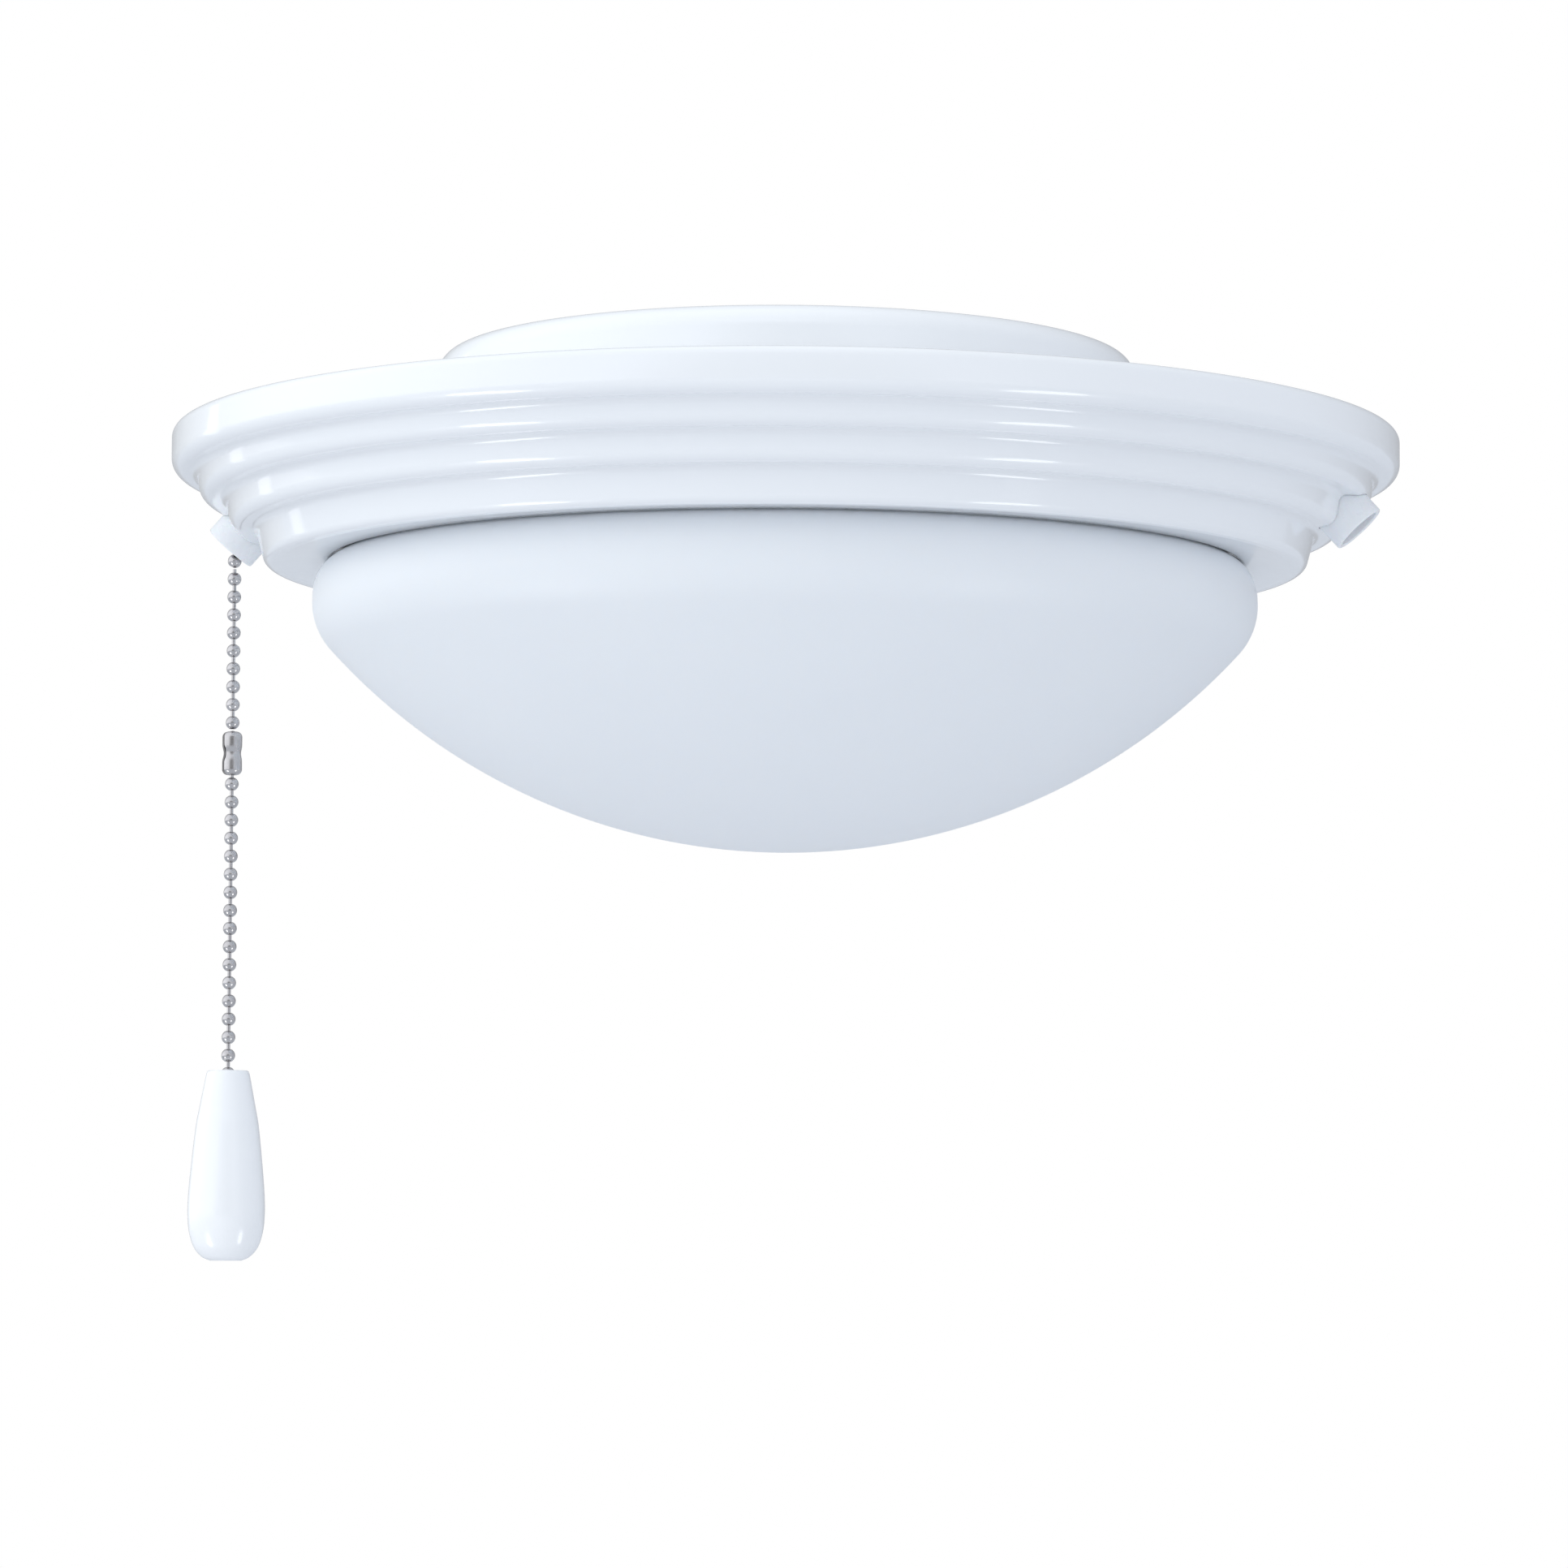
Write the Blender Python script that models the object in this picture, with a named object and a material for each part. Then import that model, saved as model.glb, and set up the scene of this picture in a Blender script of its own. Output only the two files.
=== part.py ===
"""Ceiling fan light kit: stepped pan, cup, opal bowl, two lampholders and a pull-chain switch.

Metres, +Z up. The origin is the middle of the cup's top face, which seats under the fan.
The chain outlets lie on the X axis: the light's own chain at -X, the empty outlet at +X.
"""

import math

import bmesh
import bpy
from mathutils import Matrix, Vector

# Sheet metal and assembly
SHEET = 0.0008              # pressed steel of the pan and the canopy
GAP = 0.0003                # room left between pieces that touch
OVERRUN = 0.002             # how far a cutter runs past what it cuts
WELD = 0.000001             # points closer than this are one point

# Facets
ROUND_SIDES = 36            # sides of the large turned pieces
SMALL_SIDES = 12            # sides of the small turned pieces
BEAD_SIDES = 8
BEAD_CHORDS = 4             # from one link to the next
BOWL_CHORDS = 5             # of the shoulder; the flank has half as many, the bottom one more
FERRULE_SIDES = 16
KNOB_SIDES = 16
QUARTER = math.pi / 2
TURN = math.pi * 2
SMOOTH_ANGLE = math.radians(38)

# Canopy: the cup and the flange that closes the pan's top
CUP_RADIUS = 0.0800
CUP_ROUND = 0.0050
RIM_DROP = 0.0190           # from the cup's top face down to the pan's rim plane
FLANGE_RISE = 0.0060        # the flange at the cup, above the rim plane
FLANGE_ROUND = 0.0030
SKIRT_CLEARANCE = 0.0009    # between the turned-down edge and the first step below it
SKIRT_ROUND = 0.0016
CHAIN_PASS_RADIUS = 0.0048  # hole in the cup's top for the fan's own chain
CHAIN_PASS_PLACE = 0.0450

# Pan: rim band, three rings, foot and underside, then the well that takes the glass
RIM_RADIUS = 0.1401
RIM_LIP = 0.0021            # how far the rim's edge turns in
RIM_ROUND = 0.0019
RIM_BAND = 0.0097
RING_TREAD = 0.0057         # how far each step goes in
RING_HEIGHTS = (0.0058, 0.0067, 0.0078)
RING_LEANS = (0.0010, 0.0011, 0.0021)
RING_ROUND = 0.0030
GROOVE_ROUND = 0.0010
FOOT_WIDTH = 0.0033
FOOT_ROUND = 0.0009
LEDGE_RISE = 0.0014         # the underside climbs this much from the foot to the well
LEDGE_SLOPE_share = 0.58
LEDGE_WIDTH = 0.0199        # from the foot in to the well
WELL_ROUND = 0.0015
WELL_DEPTH = 0.0261         # from the underside up to the deck

# Centre fixing: a 1/8 IP nipple with its nuts
NIPPLE_RADIUS = 0.0051
NIPPLE_BORE = 0.0036
NIPPLE_ABOVE = 0.0090       # stands above the cup's top face
NIPPLE_BELOW = 0.0070       # hangs below the deck
NUT_FLATS = 0.0170
NUT_HEIGHT = 0.0030
FAN_PLATE = 0.0020          # room for the fan's own plate under the washer
WASHER_RADIUS = 0.0090
WASHER_TOOTH = 0.0012
WASHER_HEIGHT = 0.0008
NUT_SIDES = 12
WASHER_POINTS = 16

# Chain outlets: a white ferrule through the middle ring, square to its tilt
OUTLET_TILT = math.radians(47.5)
OUTLET_RING = 1             # the middle ring, counted from the rim
OUTLET_HEIGHT_share = 0.39  # how far down that ring's face the axis passes
OUTLET_REACH = 0.0061       # from the ring's face out to the ferrule's mouth
FERRULE_RADIUS = 0.00635
FERRULE_BORE = 0.0051
FERRULE_EDGE = 0.0004
BRACKET_DEPTH = 0.0030      # from the ring's face in to the bracket
BRACKET_SHEET = 0.0010
BRACKET_WIDTH = 0.0160
BRACKET_UPPER = 0.0076      # the seat's reach above the outlet's axis
BRACKET_LOWER = 0.0080
BRACKET_TAB = 0.0110
NECK_RADIUS = 0.0048
NECK_BORE = 0.0039
NECK_LENGTH = 0.0050        # how far the neck reaches out past the bracket's seat
GUIDE_FLANGE = 0.0075
GUIDE_FLANGE_HEIGHT = 0.0016
SWITCH_WIDTH = 0.0180
SWITCH_HEIGHT = 0.0124
SWITCH_LENGTH = 0.0156
SWITCH_EDGE = 0.0010
SWITCH_WALL = 0.0030        # behind the blind end of the chain's bore

# Beaded chain
BEAD_RADIUS = 0.0016
BEAD_PITCH = 0.0042
LINK_RADIUS = 0.00043
HANG_DROP = 0.0029          # first bead, from the ferrule's axis towards its lower lip
HANG_OUT = 0.0014           # first bead, out of the ferrule's mouth
TAIL_TILT = math.radians(60)
TAIL_LENGTH = 0.0210        # of the chain inside the ferrule and the switch
ANCHOR_RADIUS = 0.0018      # the last bead of the tail, held by the switch's slide
UPPER_BEADS = 9
LOWER_BEADS = 16
COUPLING_LENGTH = 0.0101
COUPLING_RADIUS = 0.0023
COUPLING_WALL = 0.0004
COUPLING_HOLE = 0.00075
COUPLING_WAIST = 0.0001
COUPLING_SLOT = 0.0017
COUPLING_MOUTH = 0.0026     # the slot widens to this at the two lips
COUPLING_MOUTH_LENGTH = 0.0030

# Pull knob
KNOB_LENGTH = 0.0438
KNOB_RADIUS = 0.0089
KNOB_SINK = 0.0007          # the sunk bead's centre below the knob's top
KNOB_HOLE = 0.0014
KNOB_NECK = 0.0008
KNOB_CHAMBER = 0.0021
KNOB_CHAMBER_LENGTH = 0.0060
KNOB_OUTLINE_shares = (
    (0.000, 0.50), (0.014, 0.555), (0.100, 0.640), (0.196, 0.730), (0.300, 0.820), (0.510, 0.930),
    (0.660, 0.990), (0.760, 1.000), (0.850, 0.955), (0.930, 0.830), (0.980, 0.620), (1.000, 0.410),
)

# Opal bowl
BOWL_OVERHANG = 0.0123      # the widest ring beyond the well
BOWL_DEPTH = 0.0558         # from the widest ring down to the bottom
BOWL_WALL = 0.0030
SHOULDER_WIDTH = 0.0119     # the quarter ellipse above the widest ring
SHOULDER_HEIGHT = 0.0095
FLANK_ROUND = 0.0149        # the arc below the widest ring
BOWL_CLEARANCE = 0.0004     # between the shoulder and the pan's underside
NECK_CLEARANCE = 0.0031     # between the well and the glass neck
NECK_FOOT = 0.0014          # the neck meets the shoulder this far above the shoulder's top
NECK_HEIGHT = 0.0110        # the neck above the shoulder's top
LUG_REACH = 0.0022
LUG_HEIGHT = 0.0032
LUG_SETBACK = 0.0002        # the lugs' tops below the neck's lip
LUG_HALF_ANGLE = math.radians(10)
LUG_STEPS = 3

# Bayonet tabs, riveted inside the well under the lugs
TAB_COUNT = 3
TAB_START = math.radians(90)
TAB_SHEET = 0.0010
TAB_REACH = 0.0018
TAB_LEAF = 0.0043
TAB_HALF_ANGLE = math.radians(9)
TAB_STEPS = 3
STOP_THICKNESS = 0.0008
STOP_HEIGHT = 0.0024
RIVET_SHANK = 0.0010
RIVET_HEAD = 0.0018
RIVET_HEAD_HEIGHT = 0.0006
RIVET_SIDES = 8

# Lampholders and their brackets
HOLDER_SETBACK = 0.0211     # from the well in to the bracket behind the holder
HOLDER_OFFSET = 0.0270      # each holder's axis beside the centre line
HOLDER_DROP = 0.0335        # the holder's axis under the deck
HOLDER_LENGTH = 0.0360
HOLDER_RADIUS = 0.0165
HOLDER_CAP_RADIUS = 0.0130
HOLDER_CAP_LENGTH = 0.0090
HOLDER_SHOULDER = 0.0030
HOLDER_WALL = 0.0019
HOLDER_FLOOR = 0.0130
STUD_RADIUS = 0.0046
STUD_LENGTH = 0.0048
SHELL_RADIUS = 0.0143
SHELL_WALL = 0.0005
SHELL_LENGTH = 0.0212
CONTACT_WIDTH = 0.0050
CONTACT_SHEET = 0.0004
CONTACT_FOOT = 0.0050
CONTACT_RISE = 0.0016
HOLDER_STRAP = 0.0012
HOLDER_STRAP_WIDTH = 0.0150
HOLDER_STRAP_FOOT = 0.0170
HOLDER_STRAP_TAIL = 0.0090  # the strap runs on past the holder's axis
STUD_NUT_FLATS = 0.0130
STUD_NUT_HEIGHT = 0.0028
SCREW_SHANK = 0.0018
SCREW_HEAD = 0.0035
SCREW_HEAD_HEIGHT = 0.0020
SCREW_LENGTH = 0.0065
SCREW_SIDES = 8

# Lamp bulbs: 48 mm globe, 89 mm long
BULB_RADIUS = 0.0240
BULB_LENGTH = 0.0890
BULB_WALL = 0.0010
BULB_NECK_RADIUS = 0.0120
BULB_NECK_LENGTH = 0.0120
BULB_SEAT = 0.0032          # the cap's contact above the holder's floor
CAP_RADIUS = 0.0129
CAP_WALL = 0.0006
CAP_LENGTH = 0.0228
CAP_SHOULDER = 0.0055
CAP_TIP = 0.0045
CAP_TIP_HEIGHT = 0.0014

# Wiring between the deck and the lamps
CONNECTOR_PLACE = 0.0180
CONNECTOR_DROP = 0.0066
CONNECTOR_LENGTH = 0.0170
CONNECTOR_RADIUS = 0.0045
CONNECTOR_TIP = 0.0026
LEAD_RADIUS = 0.0010
LEAD_DROP = 0.0036          # the leads run this far under the deck
LEAD_SIDES = 8
LEAD_STEPS = 2
LEAD_ENTRY = 0.0050         # where a lead enters the holder, ahead of its back
GROMMET_PLACE = 0.0580
GROMMET_HOLE = 0.0053
GROMMET_BORE = 0.0032
GROMMET_RADIUS = 0.0070
GROMMET_LIP = 0.0014
GROUND_SCREW_PLACE = 0.0600

# Heights and radii that follow
RINGS = len(RING_HEIGHTS)
TAIL_BEADS = round(TAIL_LENGTH / BEAD_PITCH)
WELL_RADIUS = RIM_RADIUS - RING_TREAD * RINGS - sum(RING_LEANS) - FOOT_WIDTH - LEDGE_WIDTH
BOWL_RADIUS = WELL_RADIUS + BOWL_OVERHANG
HOLDER_BACK = WELL_RADIUS - HOLDER_SETBACK
RIM_Z = -RIM_DROP
FOOT_Z = RIM_Z - RIM_BAND - sum(RING_HEIGHTS)
UNDERSIDE_Z = FOOT_Z + LEDGE_RISE
DECK_Z = UNDERSIDE_Z + WELL_DEPTH
DECK_TOP = DECK_Z + SHEET
HOLDER_Z = DECK_Z - HOLDER_DROP


def clear_scene():
    """Take every object out of the scene."""
    for old in list(bpy.data.objects):
        bpy.data.objects.remove(old, do_unlink=True)


# Finishes, each as colour, roughness and metallic share
ENAMEL = ((0.90, 0.92, 0.94), 0.18, 0.0)
OPAL = ((0.86, 0.89, 0.93), 0.32, 0.0)
WHITE_PLASTIC = ((0.88, 0.90, 0.92), 0.35, 0.0)
NICKEL = ((0.66, 0.65, 0.63), 0.22, 1.0)
ZINC = ((0.62, 0.64, 0.66), 0.38, 1.0)
BRASS = ((0.78, 0.60, 0.30), 0.30, 1.0)
ALUMINIUM = ((0.80, 0.81, 0.82), 0.32, 1.0)
PORCELAIN = ((0.87, 0.86, 0.83), 0.28, 0.0)
PHENOLIC = ((0.035, 0.035, 0.037), 0.45, 0.0)
GREEN_SCREW = ((0.08, 0.35, 0.14), 0.35, 0.7)
BLACK_RUBBER = ((0.03, 0.03, 0.03), 0.70, 0.0)
LEAD_WHITE = ((0.80, 0.80, 0.78), 0.50, 0.0)
LEAD_BLACK = ((0.04, 0.04, 0.045), 0.50, 0.0)
BULB_WHITE = ((0.93, 0.93, 0.91), 0.30, 0.0)


def finish(piece, look):
    """Give a piece its own Principled material."""
    colour, roughness, metallic = look
    material = bpy.data.materials.new(piece.name + "_finish")
    material.use_nodes = True
    shader = material.node_tree.nodes["Principled BSDF"]
    shader.inputs["Base Color"].default_value = (*colour, 1.0)
    shader.inputs["Roughness"].default_value = roughness
    shader.inputs["Metallic"].default_value = metallic
    material.diffuse_color = (*colour, 1.0)
    piece.data.materials.clear()
    piece.data.materials.append(material)


def piece_from(name, mesh_builder, look, place=None, parent=None):
    """Turn a bmesh into a named object with its normals out, set at a world matrix."""
    bmesh.ops.recalc_face_normals(mesh_builder, faces=mesh_builder.faces[:])
    mesh = bpy.data.meshes.new(name)
    mesh_builder.to_mesh(mesh)
    mesh_builder.free()
    piece = bpy.data.objects.new(name, mesh)
    bpy.context.collection.objects.link(piece)
    mesh.shade_smooth()
    mesh.set_sharp_from_angle(angle=SMOOTH_ANGLE)
    if parent is not None:
        piece.parent = parent
        piece.matrix_parent_inverse = parent.matrix_world.inverted()
    if place is not None:
        piece.matrix_world = place
    if look is not None:
        finish(piece, look)
    return piece


def axis_empty(name, place, parent=None):
    """An empty on a joint's axis, which carries the pieces that move with it."""
    empty = bpy.data.objects.new(name, None)
    bpy.context.collection.objects.link(empty)
    if parent is not None:
        empty.parent = parent
        empty.matrix_parent_inverse = parent.matrix_world.inverted()
    empty.matrix_world = place
    bpy.context.view_layer.update()
    return empty


def as_cutter(piece):
    """Mark an object as a cutter, which is left out of the part."""
    piece.hide_render = True
    piece.display_type = "WIRE"
    return piece


def boolean(piece, cutter, operation):
    """Cut or join one piece with another."""
    modifier = piece.modifiers.new(cutter.name, "BOOLEAN")
    modifier.operation = operation
    modifier.solver = "EXACT"
    modifier.object = as_cutter(cutter)


# Outlines: a corner is (radius, height, fillet)


def offset_corners(corners, distance):
    """The corners of a line moved to its right-hand side, with the fillets to match."""
    points = [Vector(corner[:2]) for corner in corners]
    ways = [(b - a).normalized() for a, b in zip(points, points[1:])]
    sides = [Vector((way.y, -way.x)) for way in ways]
    moved = []
    for index, (point, corner) in enumerate(zip(points, corners)):
        before = sides[max(index - 1, 0)]
        after = sides[min(index, len(sides) - 1)]
        shift = (before + after) * (distance / (1 + before.dot(after)))
        fillet = corner[2]
        if fillet and 0 < index < len(points) - 1:
            left_turn = ways[index - 1].cross(ways[index]) > 0
            fillet = fillet + distance if left_turn else max(fillet - distance, WELD)
        moved.append((point.x + shift.x, point.y + shift.y, fillet))
    return moved


def rounded(corners, chords):
    """Points along a line whose corners are fillets drawn with a number of chords."""
    points = []
    for index, (radius, height, fillet) in enumerate(corners):
        corner = Vector((radius, height))
        if not fillet or index in (0, len(corners) - 1):
            points.append((corner.x, corner.y))
            continue
        back = (Vector(corners[index - 1][:2]) - corner).normalized()
        ahead = (Vector(corners[index + 1][:2]) - corner).normalized()
        half = math.acos(max(-1, min(1, back.dot(ahead)))) / 2
        centre = corner + (back + ahead).normalized() * (fillet / math.sin(half))
        start = corner + back * (fillet / math.tan(half)) - centre
        sweep = math.pi - half * 2
        turn = -1 if back.cross(ahead) > 0 else 1
        for step in range(chords + 1):
            angle = turn * sweep * step / chords
            spoke = Matrix.Rotation(angle, 2) @ start
            points.append((centre.x + spoke.x, centre.y + spoke.y))
    return points


def wall(corners, thickness, outer_chords=2, inner_chords=1):
    """The closed outline of a sheet: the corners on its shown side, its back on the right."""
    back = rounded(offset_corners(corners, thickness), inner_chords)
    return rounded(corners, outer_chords) + back[::-1]


def arc(centre, radii, start, end, chords):
    """Points on a circle or an ellipse about a centre in the outline's plane."""
    angles = [start + (end - start) * step / chords for step in range(chords + 1)]
    return [(centre[0] + radii[0] * math.cos(a), centre[1] + radii[1] * math.sin(a)) for a in angles]


def turned(name, outline, sides, look, place=None, parent=None):
    """A piece revolved about Z from its closed outline; points on the axis become poles."""
    builder = bmesh.new()
    new = [builder.verts.new((radius, 0, height)) for radius, height in outline]
    loop = list(zip(new, new[1:] + new[:1]))
    edges = [builder.edges.new(pair) for pair in loop if max(v.co.x for v in pair) > WELD]
    bmesh.ops.spin(
        builder, geom=new + edges, cent=(0, 0, 0), axis=(0, 0, 1), dvec=(0, 0, 0),
        angle=TURN, steps=sides, use_merge=True, use_duplicate=False,
    )
    bmesh.ops.remove_doubles(builder, verts=builder.verts[:], dist=WELD)
    return piece_from(name, builder, look, place, parent)


def turned_set(name, outline, sides, look, places):
    """Like turned pieces, numbered from one."""
    for index, place in enumerate(places):
        turned("%s_%d" % (name, index + 1), outline, sides, look, place)


def prism_mesh(outline, width, builder=None, place=None):
    """Extrude a closed outline in the XZ plane along Y, centred on the plane."""
    builder = builder or bmesh.new()
    new = [builder.verts.new((x, -width / 2, z)) for x, z in outline]
    face = builder.faces.new(new)
    made = bmesh.ops.extrude_face_region(builder, geom=[face])
    top = [item for item in made["geom"] if isinstance(item, bmesh.types.BMVert)]
    bmesh.ops.translate(builder, verts=top, vec=(0, width, 0))
    if place is not None:
        bmesh.ops.transform(builder, matrix=place, verts=new + top)
    return builder


def prism(name, outline, width, look, place=None, parent=None):
    """An extruded piece."""
    return piece_from(name, prism_mesh(outline, width), look, place, parent)


def polygon_ring(name, flats, point_rise, points, bore, height, place):
    """A nut or a toothed washer: points and flats alternate round a round bore."""
    builder = bmesh.new()
    rings = []
    for level, inner in ((0, True), (0, False), (height, False), (height, True)):
        ring = []
        for index in range(points):
            radius = bore if inner else flats / 2 + point_rise * (index % 2)
            angle = TURN * index / points
            ring.append(builder.verts.new((radius * math.cos(angle), radius * math.sin(angle), level)))
        rings.append(ring)
    for one, two in zip(rings, rings[1:] + rings[:1]):
        for index in range(points):
            after = (index + 1) % points
            builder.faces.new((one[index], one[after], two[after], two[index]))
    return piece_from(name, builder, ZINC, place)


def cutter_rods(name, rods):
    """One cutter made of rods, each given as (radius, length, place); fine ones have fewer sides."""
    builder = bmesh.new()
    for radius, length, place in rods:
        sides = FERRULE_SIDES if radius > SCREW_HEAD else RIVET_SIDES
        bmesh.ops.create_cone(
            builder, cap_ends=True, segments=sides, radius1=radius, radius2=radius,
            depth=length, matrix=place,
        )
    return as_cutter(piece_from(name, builder, None))


def at(x, y, z):
    """A place without a turn."""
    return Matrix.Translation((x, y, z))


def about_z(angle):
    """A turn about the kit's axis."""
    return Matrix.Rotation(angle, 4, "Z")


# The pan's outline and the places that follow from it


def ring_corners():
    """The outer corners of the rim band and the rings, top to bottom."""
    radius, height = RIM_RADIUS, RIM_Z - RIM_BAND
    corners = [(radius, height, RING_ROUND)]
    for drop, lean in zip(RING_HEIGHTS, RING_LEANS):
        radius -= RING_TREAD
        corners.append((radius, height, GROOVE_ROUND))
        radius -= lean
        height -= drop
        corners.append((radius, height, RING_ROUND))
    return corners


def foot_radius():
    """The outer radius of the foot under the last ring."""
    return ring_corners()[-1][0]


def pan_corners():
    """The pan's shown side: rim lip, rings, foot, underside, well and deck."""
    rings = ring_corners()
    foot = foot_radius() - FOOT_WIDTH
    ledge = WELL_RADIUS + (foot - WELL_RADIUS) * (1 - LEDGE_SLOPE_share)
    return [
        (RIM_RADIUS - RIM_LIP, RIM_Z, 0),
        (RIM_RADIUS, RIM_Z, RIM_ROUND),
        *rings[:-1],
        (rings[-1][0], FOOT_Z, RING_ROUND - FOOT_ROUND),
        (foot, FOOT_Z, FOOT_ROUND),
        (ledge, UNDERSIDE_Z, 0),
        (WELL_RADIUS, UNDERSIDE_Z, WELL_ROUND),
        (WELL_RADIUS, DECK_Z, WELL_ROUND),
        (NIPPLE_RADIUS + GAP, DECK_Z, 0),
    ]


def outlet_frame(side):
    """The mouth of a chain outlet: +Z out of the kit, +X towards its lower lip."""
    upper, lower = ring_corners()[OUTLET_RING * 2 + 1], ring_corners()[OUTLET_RING * 2 + 2]
    radius = upper[0] + (lower[0] - upper[0]) * OUTLET_HEIGHT_share
    height = upper[1] + (lower[1] - upper[1]) * OUTLET_HEIGHT_share
    mouth = Vector((radius, 0, height))
    mouth += Vector((math.cos(OUTLET_TILT), 0, -math.sin(OUTLET_TILT))) * OUTLET_REACH
    tilt = Matrix.Rotation(QUARTER + OUTLET_TILT, 4, "Y")
    return about_z(0 if side > 0 else math.pi) @ Matrix.Translation(mouth) @ tilt


LEFT, RIGHT = -1, 1
SEAT_DEPTH = OUTLET_REACH + BRACKET_DEPTH
NECK_END = SEAT_DEPTH + BRACKET_SHEET + GAP


def well_spot(angle, height, radius=WELL_RADIUS):
    """A place on the well's wall whose +Z points at the axis."""
    return about_z(angle) @ at(radius, 0, height) @ Matrix.Rotation(-QUARTER, 4, "Y")


def well_face():
    """The least radius of the well's wall, in the middle of its facets."""
    return WELL_RADIUS * math.cos(math.pi / ROUND_SIDES)


def tab_angles():
    """The bayonet tabs round the well."""
    return [TAB_START + TURN * index / TAB_COUNT for index in range(TAB_COUNT)]


def lug_z():
    """The underside of the glass lugs."""
    return UNDERSIDE_Z - BOWL_CLEARANCE + NECK_HEIGHT - LUG_HEIGHT


def tab_rivet_z():
    """The middle of a tab's leaf."""
    return lug_z() - GAP - TAB_SHEET - TAB_LEAF / 2


def bracket_rivet_z():
    """The middle of a bracket's tab on the well."""
    return bracket_line()[3][1] - BRACKET_TAB / 3


def bracket_line():
    """The sheet line of an outlet bracket in the outlet's own vertical plane, top first."""
    frame = outlet_frame(RIGHT)
    middle = -(SEAT_DEPTH + BRACKET_SHEET / 2)
    upper = frame @ Vector((-BRACKET_UPPER, 0, middle))
    lower = frame @ Vector((BRACKET_LOWER, 0, middle))
    tab = WELL_RADIUS + SHEET + GAP * 2 + BRACKET_SHEET / 2
    return [(upper.x, upper.z), (lower.x, lower.z), (tab, lower.z), (tab, lower.z + BRACKET_TAB)]


def strip(line, thickness):
    """The closed outline of a bent strip about its sheet line."""
    corners = [(x, z, 0) for x, z in line]
    one = offset_corners(corners, thickness / 2)
    other = offset_corners(corners, -thickness / 2)
    return [corner[:2] for corner in one] + [corner[:2] for corner in other[::-1]]


# Canopy and pan


def make_canopy():
    """Cup and flange, spun from one sheet, with a skirt inside the pan's rim."""
    edge = RIM_RADIUS - RIM_LIP - GAP
    corners = [
        (NIPPLE_RADIUS + GAP, 0, 0),
        (CUP_RADIUS, 0, CUP_ROUND),
        (CUP_RADIUS, RIM_Z + FLANGE_RISE, FLANGE_ROUND),
        (edge, RIM_Z, SKIRT_ROUND),
        (edge, RIM_Z - RIM_BAND + SHEET + SKIRT_CLEARANCE, 0),
    ]
    canopy = turned("canopy", wall(corners, SHEET, 1), ROUND_SIDES, ENAMEL)
    hole = cutter_rods("cutter_chain_pass", [
        (CHAIN_PASS_RADIUS, OVERRUN * 2, at(CHAIN_PASS_PLACE, 0, -SHEET / 2)),
    ])
    boolean(canopy, hole, "DIFFERENCE")


def strap_screw_places():
    """The screws that hold the lampholder straps to the deck, heads below."""
    foot = HOLDER_BACK - HOLDER_STRAP_FOOT / 2
    down = Matrix.Rotation(math.pi, 4, "X")
    level = DECK_Z - GAP * 2 - HOLDER_STRAP
    return [about_z(turn) @ at(foot, HOLDER_OFFSET, level) @ down for turn in (0, math.pi)]


def ground_screw_place():
    """The ground screw on the deck, head above."""
    return at(0, GROUND_SCREW_PLACE, DECK_TOP + GAP)


def make_pan():
    """The stamped pan with its holes."""
    pan = turned("fitter_pan", wall(pan_corners(), SHEET), ROUND_SIDES, ENAMEL)
    through = SHEET * 2 + OVERRUN
    rods = []
    for side in (LEFT, RIGHT):
        depth = SEAT_DEPTH + OUTLET_REACH
        place = outlet_frame(side) @ at(0, 0, -depth / 2)
        rods.append((FERRULE_RADIUS + GAP * 2, depth, place))
        rods.append((RIVET_SHANK + GAP, through, well_spot(0 if side > 0 else math.pi, bracket_rivet_z())))
    for angle in tab_angles():
        rods.append((RIVET_SHANK + GAP, through, well_spot(angle, tab_rivet_z())))
    for place in strap_screw_places():
        rods.append((SCREW_SHANK + GAP, through, at(place.translation.x, place.translation.y, DECK_Z)))
    rods.append((GROMMET_HOLE, through, at(-GROMMET_PLACE, 0, DECK_Z)))
    rods.append((SCREW_SHANK + GAP, through, at(0, GROUND_SCREW_PLACE, DECK_Z)))
    boolean(pan, cutter_rods("cutter_pan_holes", rods), "DIFFERENCE")


# Centre fixing


def make_centre_fixing():
    """Nipple, the nuts that clamp the canopy and the deck, and the fan's own locknut."""
    low, high = DECK_Z - NIPPLE_BELOW, NIPPLE_ABOVE
    bore = NIPPLE_RADIUS + GAP
    outline = [(NIPPLE_BORE, low), (NIPPLE_BORE, high), (NIPPLE_RADIUS, high), (NIPPLE_RADIUS, low)]
    turned("mounting_nipple", outline, SMALL_SIDES, ZINC)
    corner_rise = NUT_FLATS / 2 / math.cos(math.pi / 6) - NUT_FLATS / 2

    def nut(name, level):
        polygon_ring(name, NUT_FLATS, corner_rise, NUT_SIDES, bore, NUT_HEIGHT, at(0, 0, level))

    washer_level = FAN_PLATE + GAP
    nut("fan_locknut", washer_level + WASHER_HEIGHT + GAP)
    nut("cup_nut", -SHEET - GAP - NUT_HEIGHT)
    nut("deck_nut_upper", DECK_TOP + GAP)
    nut("deck_nut_lower", DECK_Z - GAP - NUT_HEIGHT)
    polygon_ring(
        "lock_washer", (WASHER_RADIUS - WASHER_TOOTH) * 2, WASHER_TOOTH, WASHER_POINTS, bore,
        WASHER_HEIGHT, at(0, 0, washer_level),
    )


# Chain outlets, switch and guide


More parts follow.
